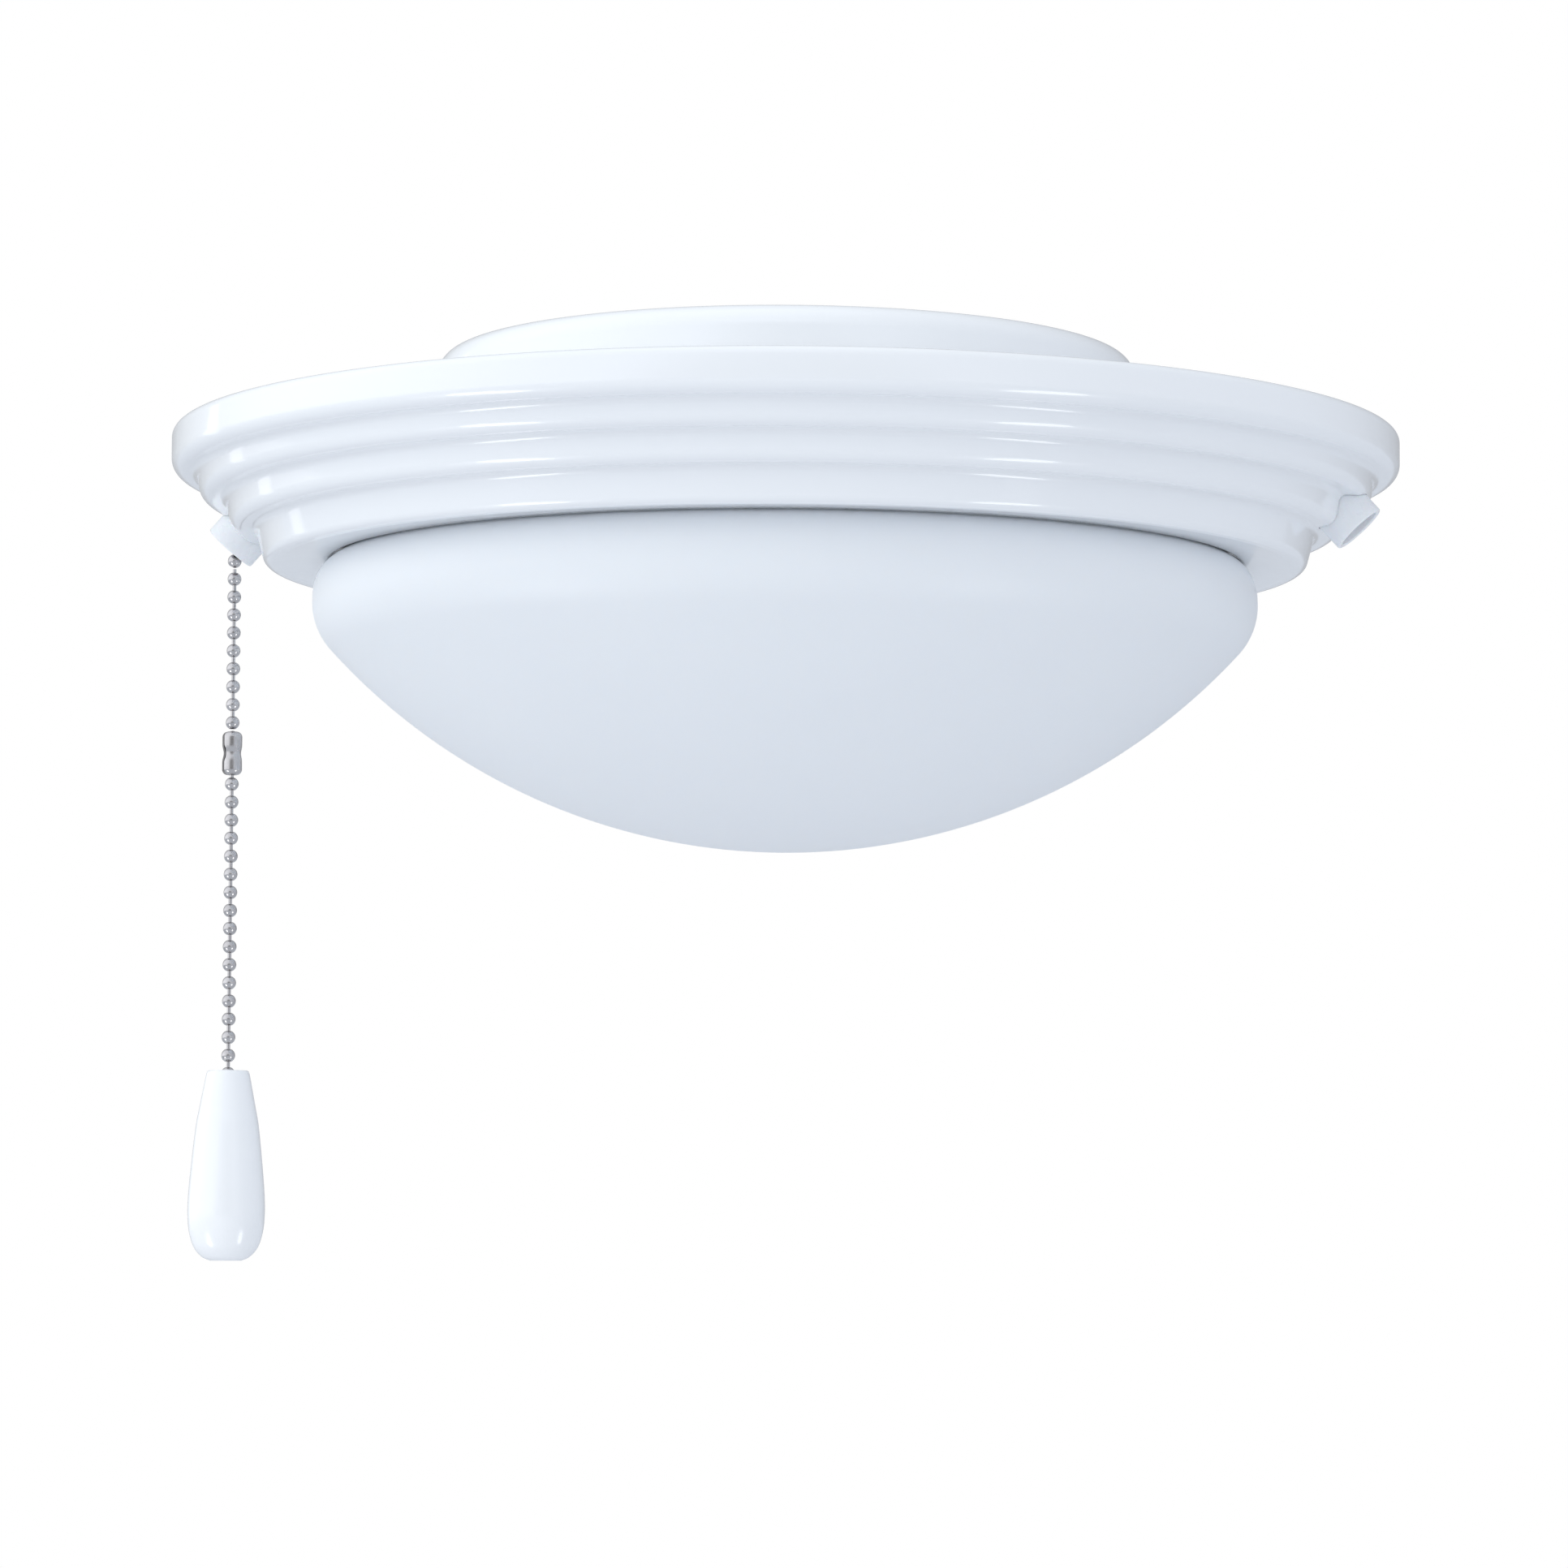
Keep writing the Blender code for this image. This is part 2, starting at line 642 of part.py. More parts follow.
def make_outlets():
    """Ferrules, their brackets and rivets, the pull switch and the empty chain guide."""
    length = SEAT_DEPTH - GAP
    ferrule = [
        (FERRULE_BORE, -length), (FERRULE_BORE, -FERRULE_EDGE), (FERRULE_BORE + FERRULE_EDGE, 0),
        (FERRULE_RADIUS - FERRULE_EDGE, 0), (FERRULE_RADIUS, -FERRULE_EDGE), (FERRULE_RADIUS, -length),
    ]
    seat_hole = NECK_RADIUS + GAP
    for side, ferrule_name, bracket_name in (
        (LEFT, "ferrule_left", "switch_bracket"), (RIGHT, "ferrule_right", "guide_bracket"),
    ):
        frame = outlet_frame(side)
        turned(ferrule_name, ferrule, FERRULE_SIDES, WHITE_PLASTIC, frame)
        spin = about_z(0 if side > 0 else math.pi)
        bracket = prism(bracket_name, strip(bracket_line(), BRACKET_SHEET), BRACKET_WIDTH, ZINC, spin)
        holes = cutter_rods("cutter_" + bracket_name, [
            (seat_hole, BRACKET_SHEET + OVERRUN, frame @ at(0, 0, -SEAT_DEPTH - BRACKET_SHEET / 2)),
            (RIVET_SHANK + GAP, (BRACKET_SHEET + SHEET) * 2 + OVERRUN,
             well_spot(0 if side > 0 else math.pi, bracket_rivet_z())),
        ])
        boolean(bracket, holes, "DIFFERENCE")

    rivet = rivet_outline(WELL_RADIUS - well_face() + SHEET + GAP * 2 + BRACKET_SHEET)
    places = [well_spot(angle, bracket_rivet_z(), well_face()) for angle in (0, math.pi)]
    turned_set("bracket_rivet", rivet, RIVET_SIDES, ALUMINIUM, places)

    frame = outlet_frame(LEFT)
    middle = -NECK_END - SWITCH_LENGTH / 2
    builder = bmesh.new()
    bmesh.ops.create_cube(builder, size=1)
    size = Matrix.Diagonal((SWITCH_HEIGHT, SWITCH_WIDTH, SWITCH_LENGTH, 1))
    bmesh.ops.transform(builder, matrix=at(0, 0, middle) @ size, verts=builder.verts[:])
    switch = piece_from("pull_switch", builder, PHENOLIC, frame)
    bevel = switch.modifiers.new("case_edges", "BEVEL")
    bevel.width = SWITCH_EDGE
    bevel.segments = 1
    neck_length = NECK_LENGTH + BRACKET_SHEET + GAP * 2
    neck = -NECK_END + neck_length / 2 - OVERRUN / 2
    boolean(switch, cutter_rods("cutter_switch_neck", [
        (NECK_RADIUS, neck_length + OVERRUN, frame @ at(0, 0, neck)),
    ]), "UNION")
    bore = SWITCH_LENGTH - SWITCH_WALL + neck_length + OVERRUN
    bottom = -NECK_END - SWITCH_LENGTH + SWITCH_WALL
    boolean(switch, cutter_rods("cutter_switch_bore", [
        (NECK_BORE, bore, frame @ at(0, 0, bottom + bore / 2)),
    ]), "DIFFERENCE")

    mouth = -NECK_END + neck_length
    back = -NECK_END - GUIDE_FLANGE_HEIGHT
    guide = [
        (NECK_BORE, back), (NECK_BORE, mouth), (NECK_RADIUS, mouth), (NECK_RADIUS, -NECK_END),
        (GUIDE_FLANGE, -NECK_END), (GUIDE_FLANGE, back),
    ]
    turned("chain_guide", guide, SMALL_SIDES, WHITE_PLASTIC, outlet_frame(RIGHT))


def rivet_outline(grip):
    """A rivet from its head inside the well (+Z) to the tail behind what it grips (-Z)."""
    head = GAP
    tail = -grip - GAP
    return [
        (0, head + RIVET_HEAD_HEIGHT), (RIVET_HEAD / 2, head + RIVET_HEAD_HEIGHT), (RIVET_HEAD, head),
        (RIVET_SHANK, head), (RIVET_SHANK, tail), (RIVET_HEAD, tail),
        (RIVET_HEAD / 2, tail - RIVET_HEAD_HEIGHT), (0, tail - RIVET_HEAD_HEIGHT),
    ]


# Bayonet tabs and the opal bowl


def sector_mesh(outline, start, end, steps, builder=None):
    """A closed outline swept round Z from one angle to another."""
    builder = builder or bmesh.new()
    base = [builder.verts.new((radius, 0, height)) for radius, height in outline]
    bmesh.ops.transform(builder, matrix=about_z(start), verts=base)
    face = builder.faces.new(base)
    bmesh.ops.spin(
        builder, geom=[face], cent=(0, 0, 0), axis=(0, 0, 1), dvec=(0, 0, 0),
        angle=end - start, steps=steps, use_duplicate=False,
    )
    return builder


def make_tabs():
    """Three bent tabs riveted in the well, each with a stop that a lug turns against."""
    back = well_face() - GAP
    shelf_top = lug_z() - GAP
    shelf_low = shelf_top - TAB_SHEET
    leaf_low = shelf_low - TAB_LEAF
    outline = [
        (back - TAB_REACH, shelf_low), (back - TAB_REACH, shelf_top), (back, shelf_top),
        (back, leaf_low), (back - TAB_SHEET, leaf_low), (back - TAB_SHEET, shelf_low),
    ]
    stop_angle = STOP_THICKNESS / WELL_RADIUS
    stop_start = LUG_HALF_ANGLE + GAP / WELL_RADIUS
    stop = [
        (back - TAB_REACH, shelf_top - TAB_SHEET), (back - TAB_REACH, shelf_top + STOP_HEIGHT),
        (back - TAB_SHEET / 2, shelf_top + STOP_HEIGHT), (back - TAB_SHEET / 2, shelf_top - TAB_SHEET),
    ]
    hole_radius = RIVET_SHANK + GAP
    for index, angle in enumerate(tab_angles()):
        body = sector_mesh(outline, angle - TAB_HALF_ANGLE, angle + stop_start + stop_angle, TAB_STEPS)
        tab = piece_from("glass_tab_%d" % (index + 1), body, ZINC)
        ear = sector_mesh(stop, angle + stop_start, angle + stop_start + stop_angle / 2, 1)
        boolean(tab, as_cutter(piece_from("cutter_stop_%d" % (index + 1), ear, None)), "UNION")
        hole = (hole_radius, TAB_SHEET * 2 + OVERRUN, well_spot(angle, tab_rivet_z()))
        boolean(tab, cutter_rods("cutter_tab_%d" % (index + 1), [hole]), "DIFFERENCE")
    places = [well_spot(angle, tab_rivet_z(), back - TAB_SHEET) for angle in tab_angles()]
    rivet = rivet_outline(WELL_RADIUS + SHEET - back + TAB_SHEET)
    turned_set("tab_rivet", rivet, RIVET_SIDES, ALUMINIUM, places)


def bowl_sphere():
    """Radius of the bowl's bottom and the angle at which the flank arc meets it."""
    reach = BOWL_RADIUS - FLANK_ROUND
    sphere = (reach ** 2 + BOWL_DEPTH ** 2 - FLANK_ROUND ** 2) / (2 * (BOWL_DEPTH - FLANK_ROUND))
    return sphere, math.atan2(sphere - BOWL_DEPTH, reach)


def bowl_side(inset, chords):
    """One side of the bowl's wall, from the shoulder's top to the bottom, set in by a wall."""
    widest = UNDERSIDE_Z - BOWL_CLEARANCE - SHOULDER_HEIGHT
    sphere, join = bowl_sphere()
    shoulder = (BOWL_RADIUS - SHOULDER_WIDTH, widest)
    flank = (BOWL_RADIUS - FLANK_ROUND, widest)
    bottom = (0, widest - BOWL_DEPTH + sphere)
    points = arc(shoulder, (SHOULDER_WIDTH - inset, SHOULDER_HEIGHT - inset), QUARTER, 0, chords)
    points += arc(flank, (FLANK_ROUND - inset,) * 2, 0, -join, chords // 2)[1:]
    points += arc(bottom, (sphere - inset,) * 2, -join, -QUARTER, chords + 1)[1:]
    points[-1] = (0, points[-1][1])
    return points


def make_bowl(parent):
    """Pressed opal glass: bowl, shoulder and neck, with three lugs that sit on the tabs."""
    neck = WELL_RADIUS - NECK_CLEARANCE
    shoulder_top = UNDERSIDE_Z - BOWL_CLEARANCE
    top = shoulder_top + NECK_HEIGHT
    lip = [(neck - BOWL_WALL, top), (neck, top), (neck, shoulder_top + NECK_FOOT)]
    outer = lip + bowl_side(0, BOWL_CHORDS)
    inner = bowl_side(BOWL_WALL, BOWL_CHORDS - 2)
    inner[0] = (neck - BOWL_WALL, shoulder_top - BOWL_WALL / 2)
    bowl = turned("glass_bowl", outer + inner[::-1], ROUND_SIDES, OPAL, None, parent)
    low = lug_z()
    lug = [
        (neck - BOWL_WALL / 2, low), (neck + LUG_REACH, low), (neck + LUG_REACH, top - LUG_SETBACK),
        (neck - BOWL_WALL / 2, top - LUG_SETBACK),
    ]
    builder = bmesh.new()
    for angle in tab_angles():
        sector_mesh(lug, angle - LUG_HALF_ANGLE, angle + LUG_HALF_ANGLE, LUG_STEPS, builder)
    lugs = as_cutter(piece_from("cutter_lugs", builder, None, None, parent))
    boolean(bowl, lugs, "UNION")


# Lampholders and lamps


def holder_frame(index):
    """A lampholder's back, +Z towards its lamp; the second is the first turned half round."""
    turn = about_z(math.pi * index)
    return turn @ at(HOLDER_BACK - GAP, HOLDER_OFFSET, HOLDER_Z) @ Matrix.Rotation(-QUARTER, 4, "Y")


def make_lampholders():
    """Two lampholders with their shells, contacts, straps, nuts and screws."""
    body = [
        (0, -STUD_LENGTH), (STUD_RADIUS, -STUD_LENGTH), (STUD_RADIUS, 0), (HOLDER_CAP_RADIUS, 0),
        (HOLDER_CAP_RADIUS, HOLDER_CAP_LENGTH), (HOLDER_RADIUS, HOLDER_CAP_LENGTH + HOLDER_SHOULDER),
        (HOLDER_RADIUS, HOLDER_LENGTH), (HOLDER_RADIUS - HOLDER_WALL, HOLDER_LENGTH),
        (HOLDER_RADIUS - HOLDER_WALL, HOLDER_FLOOR), (0, HOLDER_FLOOR),
    ]
    shell_low = HOLDER_FLOOR + GAP * 3
    shell = [
        (SHELL_RADIUS - SHELL_WALL, shell_low), (SHELL_RADIUS - SHELL_WALL, shell_low + SHELL_LENGTH),
        (SHELL_RADIUS, shell_low + SHELL_LENGTH), (SHELL_RADIUS, shell_low),
    ]
    floor = HOLDER_FLOOR + GAP + CONTACT_SHEET / 2
    contact = [
        (-CONTACT_FOOT, floor), (0, floor), (CONTACT_FOOT / 2, floor + CONTACT_RISE),
        (-CONTACT_FOOT / 2, floor + CONTACT_RISE),
    ]
    back = HOLDER_BACK + HOLDER_STRAP / 2
    strap_top = DECK_Z - GAP - HOLDER_STRAP / 2
    strap = [
        (HOLDER_BACK - HOLDER_STRAP_FOOT, strap_top), (back, strap_top),
        (back, HOLDER_Z - HOLDER_STRAP_TAIL),
    ]
    for index, letter in enumerate("ab"):
        frame = holder_frame(index)
        turned("lampholder_" + letter, body, SMALL_SIDES, PORCELAIN, frame)
        turned("screw_shell_" + letter, shell, SMALL_SIDES, BRASS, frame)
        prism("centre_contact_" + letter, strip(contact, CONTACT_SHEET), CONTACT_WIDTH, BRASS, frame)
        turn = about_z(math.pi * index)
        sheet = prism(
            "lampholder_strap_" + letter, strip(strap, HOLDER_STRAP), HOLDER_STRAP_WIDTH, ZINC,
            turn @ at(0, HOLDER_OFFSET, 0),
        )
        screw = strap_screw_places()[index].translation
        holes = cutter_rods("cutter_strap_" + letter, [
            (STUD_RADIUS + GAP, HOLDER_STRAP + OVERRUN, frame @ at(0, 0, -GAP - HOLDER_STRAP / 2)),
            (SCREW_SHANK + GAP, HOLDER_STRAP + OVERRUN, at(screw.x, screw.y, strap_top)),
        ])
        boolean(sheet, holes, "DIFFERENCE")
    corner_rise = STUD_NUT_FLATS / 2 / math.cos(math.pi / 6) - STUD_NUT_FLATS / 2
    level = -GAP * 2 - HOLDER_STRAP - STUD_NUT_HEIGHT
    for index, letter in enumerate("ab"):
        polygon_ring(
            "lampholder_nut_" + letter, STUD_NUT_FLATS, corner_rise, NUT_SIDES, STUD_RADIUS + GAP,
            STUD_NUT_HEIGHT, holder_frame(index) @ at(0, 0, level),
        )
    screw = [
        (0, SCREW_HEAD_HEIGHT), (SCREW_HEAD * 2 / 3, SCREW_HEAD_HEIGHT), (SCREW_HEAD, SCREW_HEAD_HEIGHT / 3),
        (SCREW_HEAD, 0), (SCREW_SHANK, 0), (SCREW_SHANK, -SCREW_LENGTH), (0, -SCREW_LENGTH),
    ]
    turned_set("strap_screw", screw, SCREW_SIDES, ZINC, strap_screw_places())
    turned("ground_screw", screw, SCREW_SIDES, GREEN_SCREW, ground_screw_place())


def make_lamps():
    """Two lamp bulbs screwed home in their holders."""
    seat = HOLDER_FLOOR + BULB_SEAT
    mouth = seat + CAP_TIP_HEIGHT + CAP_LENGTH
    cap = [
        (0, seat), (CAP_TIP, seat), (CAP_TIP, seat + CAP_TIP_HEIGHT),
        (CAP_RADIUS, seat + CAP_SHOULDER), (CAP_RADIUS, mouth), (CAP_RADIUS - CAP_WALL, mouth),
        (CAP_RADIUS - CAP_WALL, seat + CAP_SHOULDER + CAP_WALL), (0, seat + CAP_SHOULDER + CAP_WALL),
    ]
    neck = CAP_RADIUS - CAP_WALL - GAP
    top = seat + BULB_LENGTH
    middle = (0, top - BULB_RADIUS)
    start = mouth - BULB_NECK_LENGTH

    def envelope(inset, chords):
        joint = math.asin(BULB_NECK_RADIUS / BULB_RADIUS) - QUARTER
        flare = (neck + BULB_NECK_RADIUS) / 2 - inset
        points = [(neck - inset, start), (neck - inset, mouth), (flare, mouth + BULB_NECK_LENGTH / 2)]
        globe = arc(middle, (BULB_RADIUS - inset,) * 2, joint / 2, QUARTER, chords)
        globe[-1] = (0, globe[-1][1])
        return points + globe

    glass = envelope(0, 5) + envelope(BULB_WALL, 4)[::-1]
    for index, letter in enumerate("ab"):
        turned("bulb_glass_" + letter, glass, SMALL_SIDES, BULB_WHITE, holder_frame(index))
        turned("bulb_cap_" + letter, cap, SMALL_SIDES, ALUMINIUM, holder_frame(index))


# Wiring


def smooth_route(points, steps):
    """Points on a smooth curve through the route's points, with straight-on ends."""
    route = [points[0] * 2 - points[1], *points, points[-1] * 2 - points[-2]]
    curve = []
    for a, b, c, d in zip(route, route[1:], route[2:], route[3:]):
        for step in range(steps):
            t = step / steps
            curve.append((b * 2 + (c - a) * t + (a * 2 - b * 5 + c * 4 - d) * t ** 2
                          + (b * 3 - a - c * 3 + d) * t ** 3) / 2)
    return curve + [points[-1]]


def lead(name, route, look):
    """An insulated lead, a tube along its route."""
    curve = bpy.data.curves.new(name, "CURVE")
    curve.dimensions = "3D"
    curve.bevel_depth = LEAD_RADIUS
    curve.bevel_resolution = LEAD_SIDES // 2 - 2
    curve.use_fill_caps = True
    points = smooth_route([Vector(point) for point in route], LEAD_STEPS)
    spline = curve.splines.new("POLY")
    spline.points.add(len(points) - 1)
    for spot, point in zip(spline.points, points):
        spot.co = (*point, 1)
    piece = bpy.data.objects.new(name, curve)
    bpy.context.collection.objects.link(piece)
    finish(piece, look)


def make_wiring():
    """Closed connectors beside the nipple, leads to the holders and from the switch."""
    level = DECK_Z - CONNECTOR_DROP
    connector = [
        (0, 0), (CONNECTOR_TIP, 0), (CONNECTOR_RADIUS, CONNECTOR_LENGTH / 2),
        (CONNECTOR_RADIUS, CONNECTOR_LENGTH), (0, CONNECTOR_LENGTH),
    ]
    along = Matrix.Rotation(QUARTER, 4, "Y")
    places = [about_z(turn) @ at(CONNECTOR_PLACE, 0, level) @ along for turn in (0, math.pi)]
    turned_set("wire_connector", connector, SMALL_SIDES, LEAD_WHITE, places)

    run = DECK_Z - LEAD_DROP
    mouth = CONNECTOR_PLACE + CONNECTOR_LENGTH + GAP * 2
    side = LEAD_RADIUS * 2
    entry = HOLDER_BACK - LEAD_ENTRY - GAP
    entry_z = HOLDER_Z + HOLDER_CAP_RADIUS + GAP * 2
    near = [
        (mouth, side * 1.3, level), (mouth + side, side * 1.3, level),
        (mouth + side * 4, side * 1.8, level + side / 2),
        (entry - side * 5, HOLDER_OFFSET - side * 4, run - side / 2),
        (entry - side / 2, HOLDER_OFFSET - side / 2, run - side * 2), (entry, HOLDER_OFFSET, entry_z + side),
        (entry, HOLDER_OFFSET, entry_z),
    ]
    for turn, letter in ((0, "a"), (math.pi, "b")):
        lead("lampholder_lead_" + letter, [about_z(turn) @ Vector(point) for point in near], LEAD_BLACK)

    exit_drop = SWITCH_HEIGHT / 4
    back = -NECK_END - SWITCH_LENGTH - GAP * 2
    over = DECK_TOP + side * 1.3
    for number, lane, end in ((1, -side * 0.6, 0), (2, side * 0.6, side * 1.3)):
        leave = [outlet_frame(LEFT) @ Vector((exit_drop, -lane * 2, back - out)) for out in (0, side)]
        lead("switch_lead_%d" % number, [
            *leave,
            (-WELL_RADIUS - side * 3, lane * 2, over), (-WELL_RADIUS + side * 3, lane * 2, over),
            (-GROMMET_PLACE - side * 3, lane, DECK_TOP + side * 2),
            (-GROMMET_PLACE, lane, DECK_TOP + side / 2), (-GROMMET_PLACE, lane, DECK_Z - side),
            (-GROMMET_PLACE + side * 2, lane, DECK_Z - side * 2.5),
            (-mouth - side * 2, end, level), (-mouth - side, end, level), (-mouth, end, level),
        ], LEAD_WHITE)

    low, high = DECK_Z - GAP, DECK_TOP + GAP
    grommet = [
        (GROMMET_BORE, low - GROMMET_LIP), (GROMMET_BORE, high + GROMMET_LIP),
        (GROMMET_RADIUS, high + GROMMET_LIP), (GROMMET_RADIUS, high), (GROMMET_HOLE - GAP, high),
        (GROMMET_HOLE - GAP, low), (GROMMET_RADIUS, low), (GROMMET_RADIUS, low - GROMMET_LIP),
    ]
    turned("lead_grommet", grommet, SMALL_SIDES, BLACK_RUBBER, at(-GROMMET_PLACE, 0, 0))


# Chain and knob


def strand_outline(beads, top, bottom, last_radius=BEAD_RADIUS):
    """A strand of beads on thin links, from a level down to another; beads are levels."""
    junction = math.asin(LINK_RADIUS / BEAD_RADIUS)
    points = [(0, top), (LINK_RADIUS, top)] if top > beads[0] + BEAD_RADIUS else []
    for index, level in enumerate(beads):
        radius = last_radius if index == len(beads) - 1 else BEAD_RADIUS
        start = junction if points else 0
        end = math.pi - junction if index < len(beads) - 1 or bottom < level - BEAD_RADIUS else math.pi
        angles = [start + (end - start) * step / BEAD_CHORDS for step in range(BEAD_CHORDS + 1)]
        points += [(radius * math.sin(a), level + radius * math.cos(a)) for a in angles]
        if end == math.pi:
            points[-1] = (0, level - radius)
        if start == 0:
            points[-BEAD_CHORDS - 1] = (0, level + radius)
    if bottom < beads[-1] - BEAD_RADIUS:
        points += [(LINK_RADIUS, bottom), (0, bottom)]
    return points


def make_chain():
    """Tail, upper strand, coupling, lower strand and knob, each carried by the one above."""
    mouth = outlet_frame(LEFT)
    first_bead = mouth @ Vector((HANG_DROP, 0, HANG_OUT))
    pull = axis_empty("pull_axis", Matrix.Translation(first_bead))
    tail_place = Matrix.Translation(first_bead) @ about_z(math.pi) @ Matrix.Rotation(
        QUARTER + TAIL_TILT, 4, "Y")
    levels = [-BEAD_PITCH * index for index in range(TAIL_BEADS + 1)]
    tail = strand_outline(levels, 0, levels[-1] + BEAD_PITCH, ANCHOR_RADIUS)
    turned("chain_tail", tail, BEAD_SIDES, NICKEL, tail_place, pull)

    swing = axis_empty("swing_axis", Matrix.Translation(first_bead), pull)
    upper = [-BEAD_PITCH * (index + 1) for index in range(UPPER_BEADS)]
    strand = strand_outline(upper, -BEAD_RADIUS - GAP, 0)
    turned("chain_upper", strand, BEAD_SIDES, NICKEL, Matrix.Translation(first_bead), swing)

    last_bead = first_bead + Vector((0, 0, upper[-1]))
    sway_place = Matrix.Translation(last_bead)
    sway = axis_empty("sway_axis", sway_place, swing)
    held = -BEAD_PITCH
    coupling_top = held + BEAD_PITCH / 2
    coupling_low = coupling_top - COUPLING_LENGTH
    second = coupling_low + BEAD_PITCH / 2
    lower = [second - BEAD_PITCH * index for index in range(LOWER_BEADS + 1)]
    sunk = lower[-1] - BEAD_PITCH
    end = sunk - BEAD_PITCH
    link = strand_outline([held], -BEAD_RADIUS - GAP, held)
    turned("chain_link_end", link, BEAD_SIDES, NICKEL, sway_place, sway)
    strand = strand_outline(lower + [sunk, end], second, end)
    turned("chain_lower", strand, BEAD_SIDES, NICKEL, sway_place, sway)

    inner = COUPLING_RADIUS - COUPLING_WALL
    crown = COUPLING_WALL * 2
    middle = (coupling_top + coupling_low) / 2
    outline = [
        (COUPLING_HOLE, coupling_top), (inner - COUPLING_WALL, coupling_top),
        (COUPLING_RADIUS, coupling_top - crown), (COUPLING_RADIUS - COUPLING_WAIST, middle),
        (COUPLING_RADIUS, coupling_low + crown), (inner - COUPLING_WALL, coupling_low),
        (COUPLING_HOLE, coupling_low), (COUPLING_HOLE, coupling_low + COUPLING_WALL),
        (inner, coupling_low + crown), (inner, coupling_top - crown),
        (COUPLING_HOLE, coupling_top - COUPLING_WALL),
    ]
    coupling = turned("chain_coupling", outline, SMALL_SIDES, NICKEL, sway_place, sway)
    depth = COUPLING_RADIUS + OVERRUN
    long, wide = COUPLING_LENGTH / 2 + OVERRUN, COUPLING_MOUTH / 2
    slim, short = COUPLING_SLOT / 2, COUPLING_MOUTH_LENGTH / 2
    quarter = [(slim, long), (slim, short), (wide, short)]
    right = quarter + [(y, -z) for y, z in quarter[::-1]]
    cross = [(y, middle + z) for y, z in right + [(-y, z) for y, z in right[::-1]]]
    aim = sway_place @ about_z(QUARTER) @ at(0, depth / 2, 0)
    slots = as_cutter(piece_from("cutter_coupling_slot", prism_mesh(cross, depth), None, aim))
    boolean(coupling, slots, "DIFFERENCE")

    knob_top = sunk + KNOB_SINK
    knob_place = sway_place @ at(0, 0, knob_top)
    knob_axis = axis_empty("knob_axis", knob_place, sway)
    outer = [(KNOB_RADIUS * r, -KNOB_LENGTH * down) for down, r in KNOB_OUTLINE_shares]
    socket = BEAD_RADIUS + GAP
    chamber_top = -KNOB_SINK - BEAD_PITCH + BEAD_RADIUS + GAP
    chamber_low = chamber_top - KNOB_CHAMBER_LENGTH
    cup = arc((0, -KNOB_SINK), (socket, socket), -math.acos(KNOB_NECK / socket), 0, 2)
    bore = [
        (KNOB_HOLE, -KNOB_LENGTH), (KNOB_HOLE, chamber_low), (KNOB_CHAMBER, chamber_low),
        (KNOB_CHAMBER, chamber_top), (KNOB_NECK, chamber_top), *cup, (socket, 0),
    ]
    turned("pull_knob", outer + bore, KNOB_SIDES, WHITE_PLASTIC, knob_place, knob_axis)


clear_scene()
make_canopy()
make_pan()
make_centre_fixing()
make_outlets()
make_tabs()
glass_axis = axis_empty("glass_axis", Matrix.Identity(4))
make_bowl(glass_axis)
make_lampholders()
make_lamps()
make_wiring()
make_chain()
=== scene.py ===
"""Ceiling fan light kit, dressed for its photograph: enamelled pan and canopy, opal bowl,
lampholders and lamps inside, wiring, and the beaded pull chain with its knob."""

import math

import bmesh
import bpy
import numpy as np
from mathutils import Matrix, Vector


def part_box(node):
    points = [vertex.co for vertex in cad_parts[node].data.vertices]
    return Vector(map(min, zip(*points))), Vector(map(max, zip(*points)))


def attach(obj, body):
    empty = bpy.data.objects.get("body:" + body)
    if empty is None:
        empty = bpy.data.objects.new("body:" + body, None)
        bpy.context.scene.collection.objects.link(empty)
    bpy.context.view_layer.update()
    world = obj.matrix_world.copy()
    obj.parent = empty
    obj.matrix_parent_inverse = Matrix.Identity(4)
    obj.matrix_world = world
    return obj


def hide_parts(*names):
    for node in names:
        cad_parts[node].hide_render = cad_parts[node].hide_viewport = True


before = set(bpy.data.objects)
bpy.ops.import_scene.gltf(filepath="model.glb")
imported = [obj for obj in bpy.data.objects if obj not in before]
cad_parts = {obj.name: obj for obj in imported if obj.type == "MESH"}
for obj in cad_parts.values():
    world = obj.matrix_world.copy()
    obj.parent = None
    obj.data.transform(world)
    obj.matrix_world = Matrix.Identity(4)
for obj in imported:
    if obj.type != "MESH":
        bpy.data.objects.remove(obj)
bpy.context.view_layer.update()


# Canopy
# The cup that seats under the fan and the flange that closes the pan, spun from one 0.8 mm
# steel sheet and stove-enamelled white. Its turned-down edge rests inside the pan's rim.

SHEET, GAP = 0.0008, 0.0003             # the steel, and the room between pieces that touch
TURN = math.tau
FINE, LONG = 0.0004, 0.0060             # chord of a small fillet, and longest straight step
FOOT_Z, RIM_Z = (corner.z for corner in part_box("fitter_pan"))
RIM_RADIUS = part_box("fitter_pan")[1].x
RIM_LIP, RIM_BAND = 0.0021, 0.0097
CUP_RADIUS, CUP_ROUND = 0.0800, 0.0050
FLANGE_RISE, FLANGE_ROUND = 0.0060, 0.0030
SKIRT_ROUND, SKIRT_CLEARANCE = 0.0016, 0.0009
NIPPLE_RADIUS = 0.0051
CHAIN_PASS_RADIUS, CHAIN_PASS_PLACE = 0.0048, 0.0450


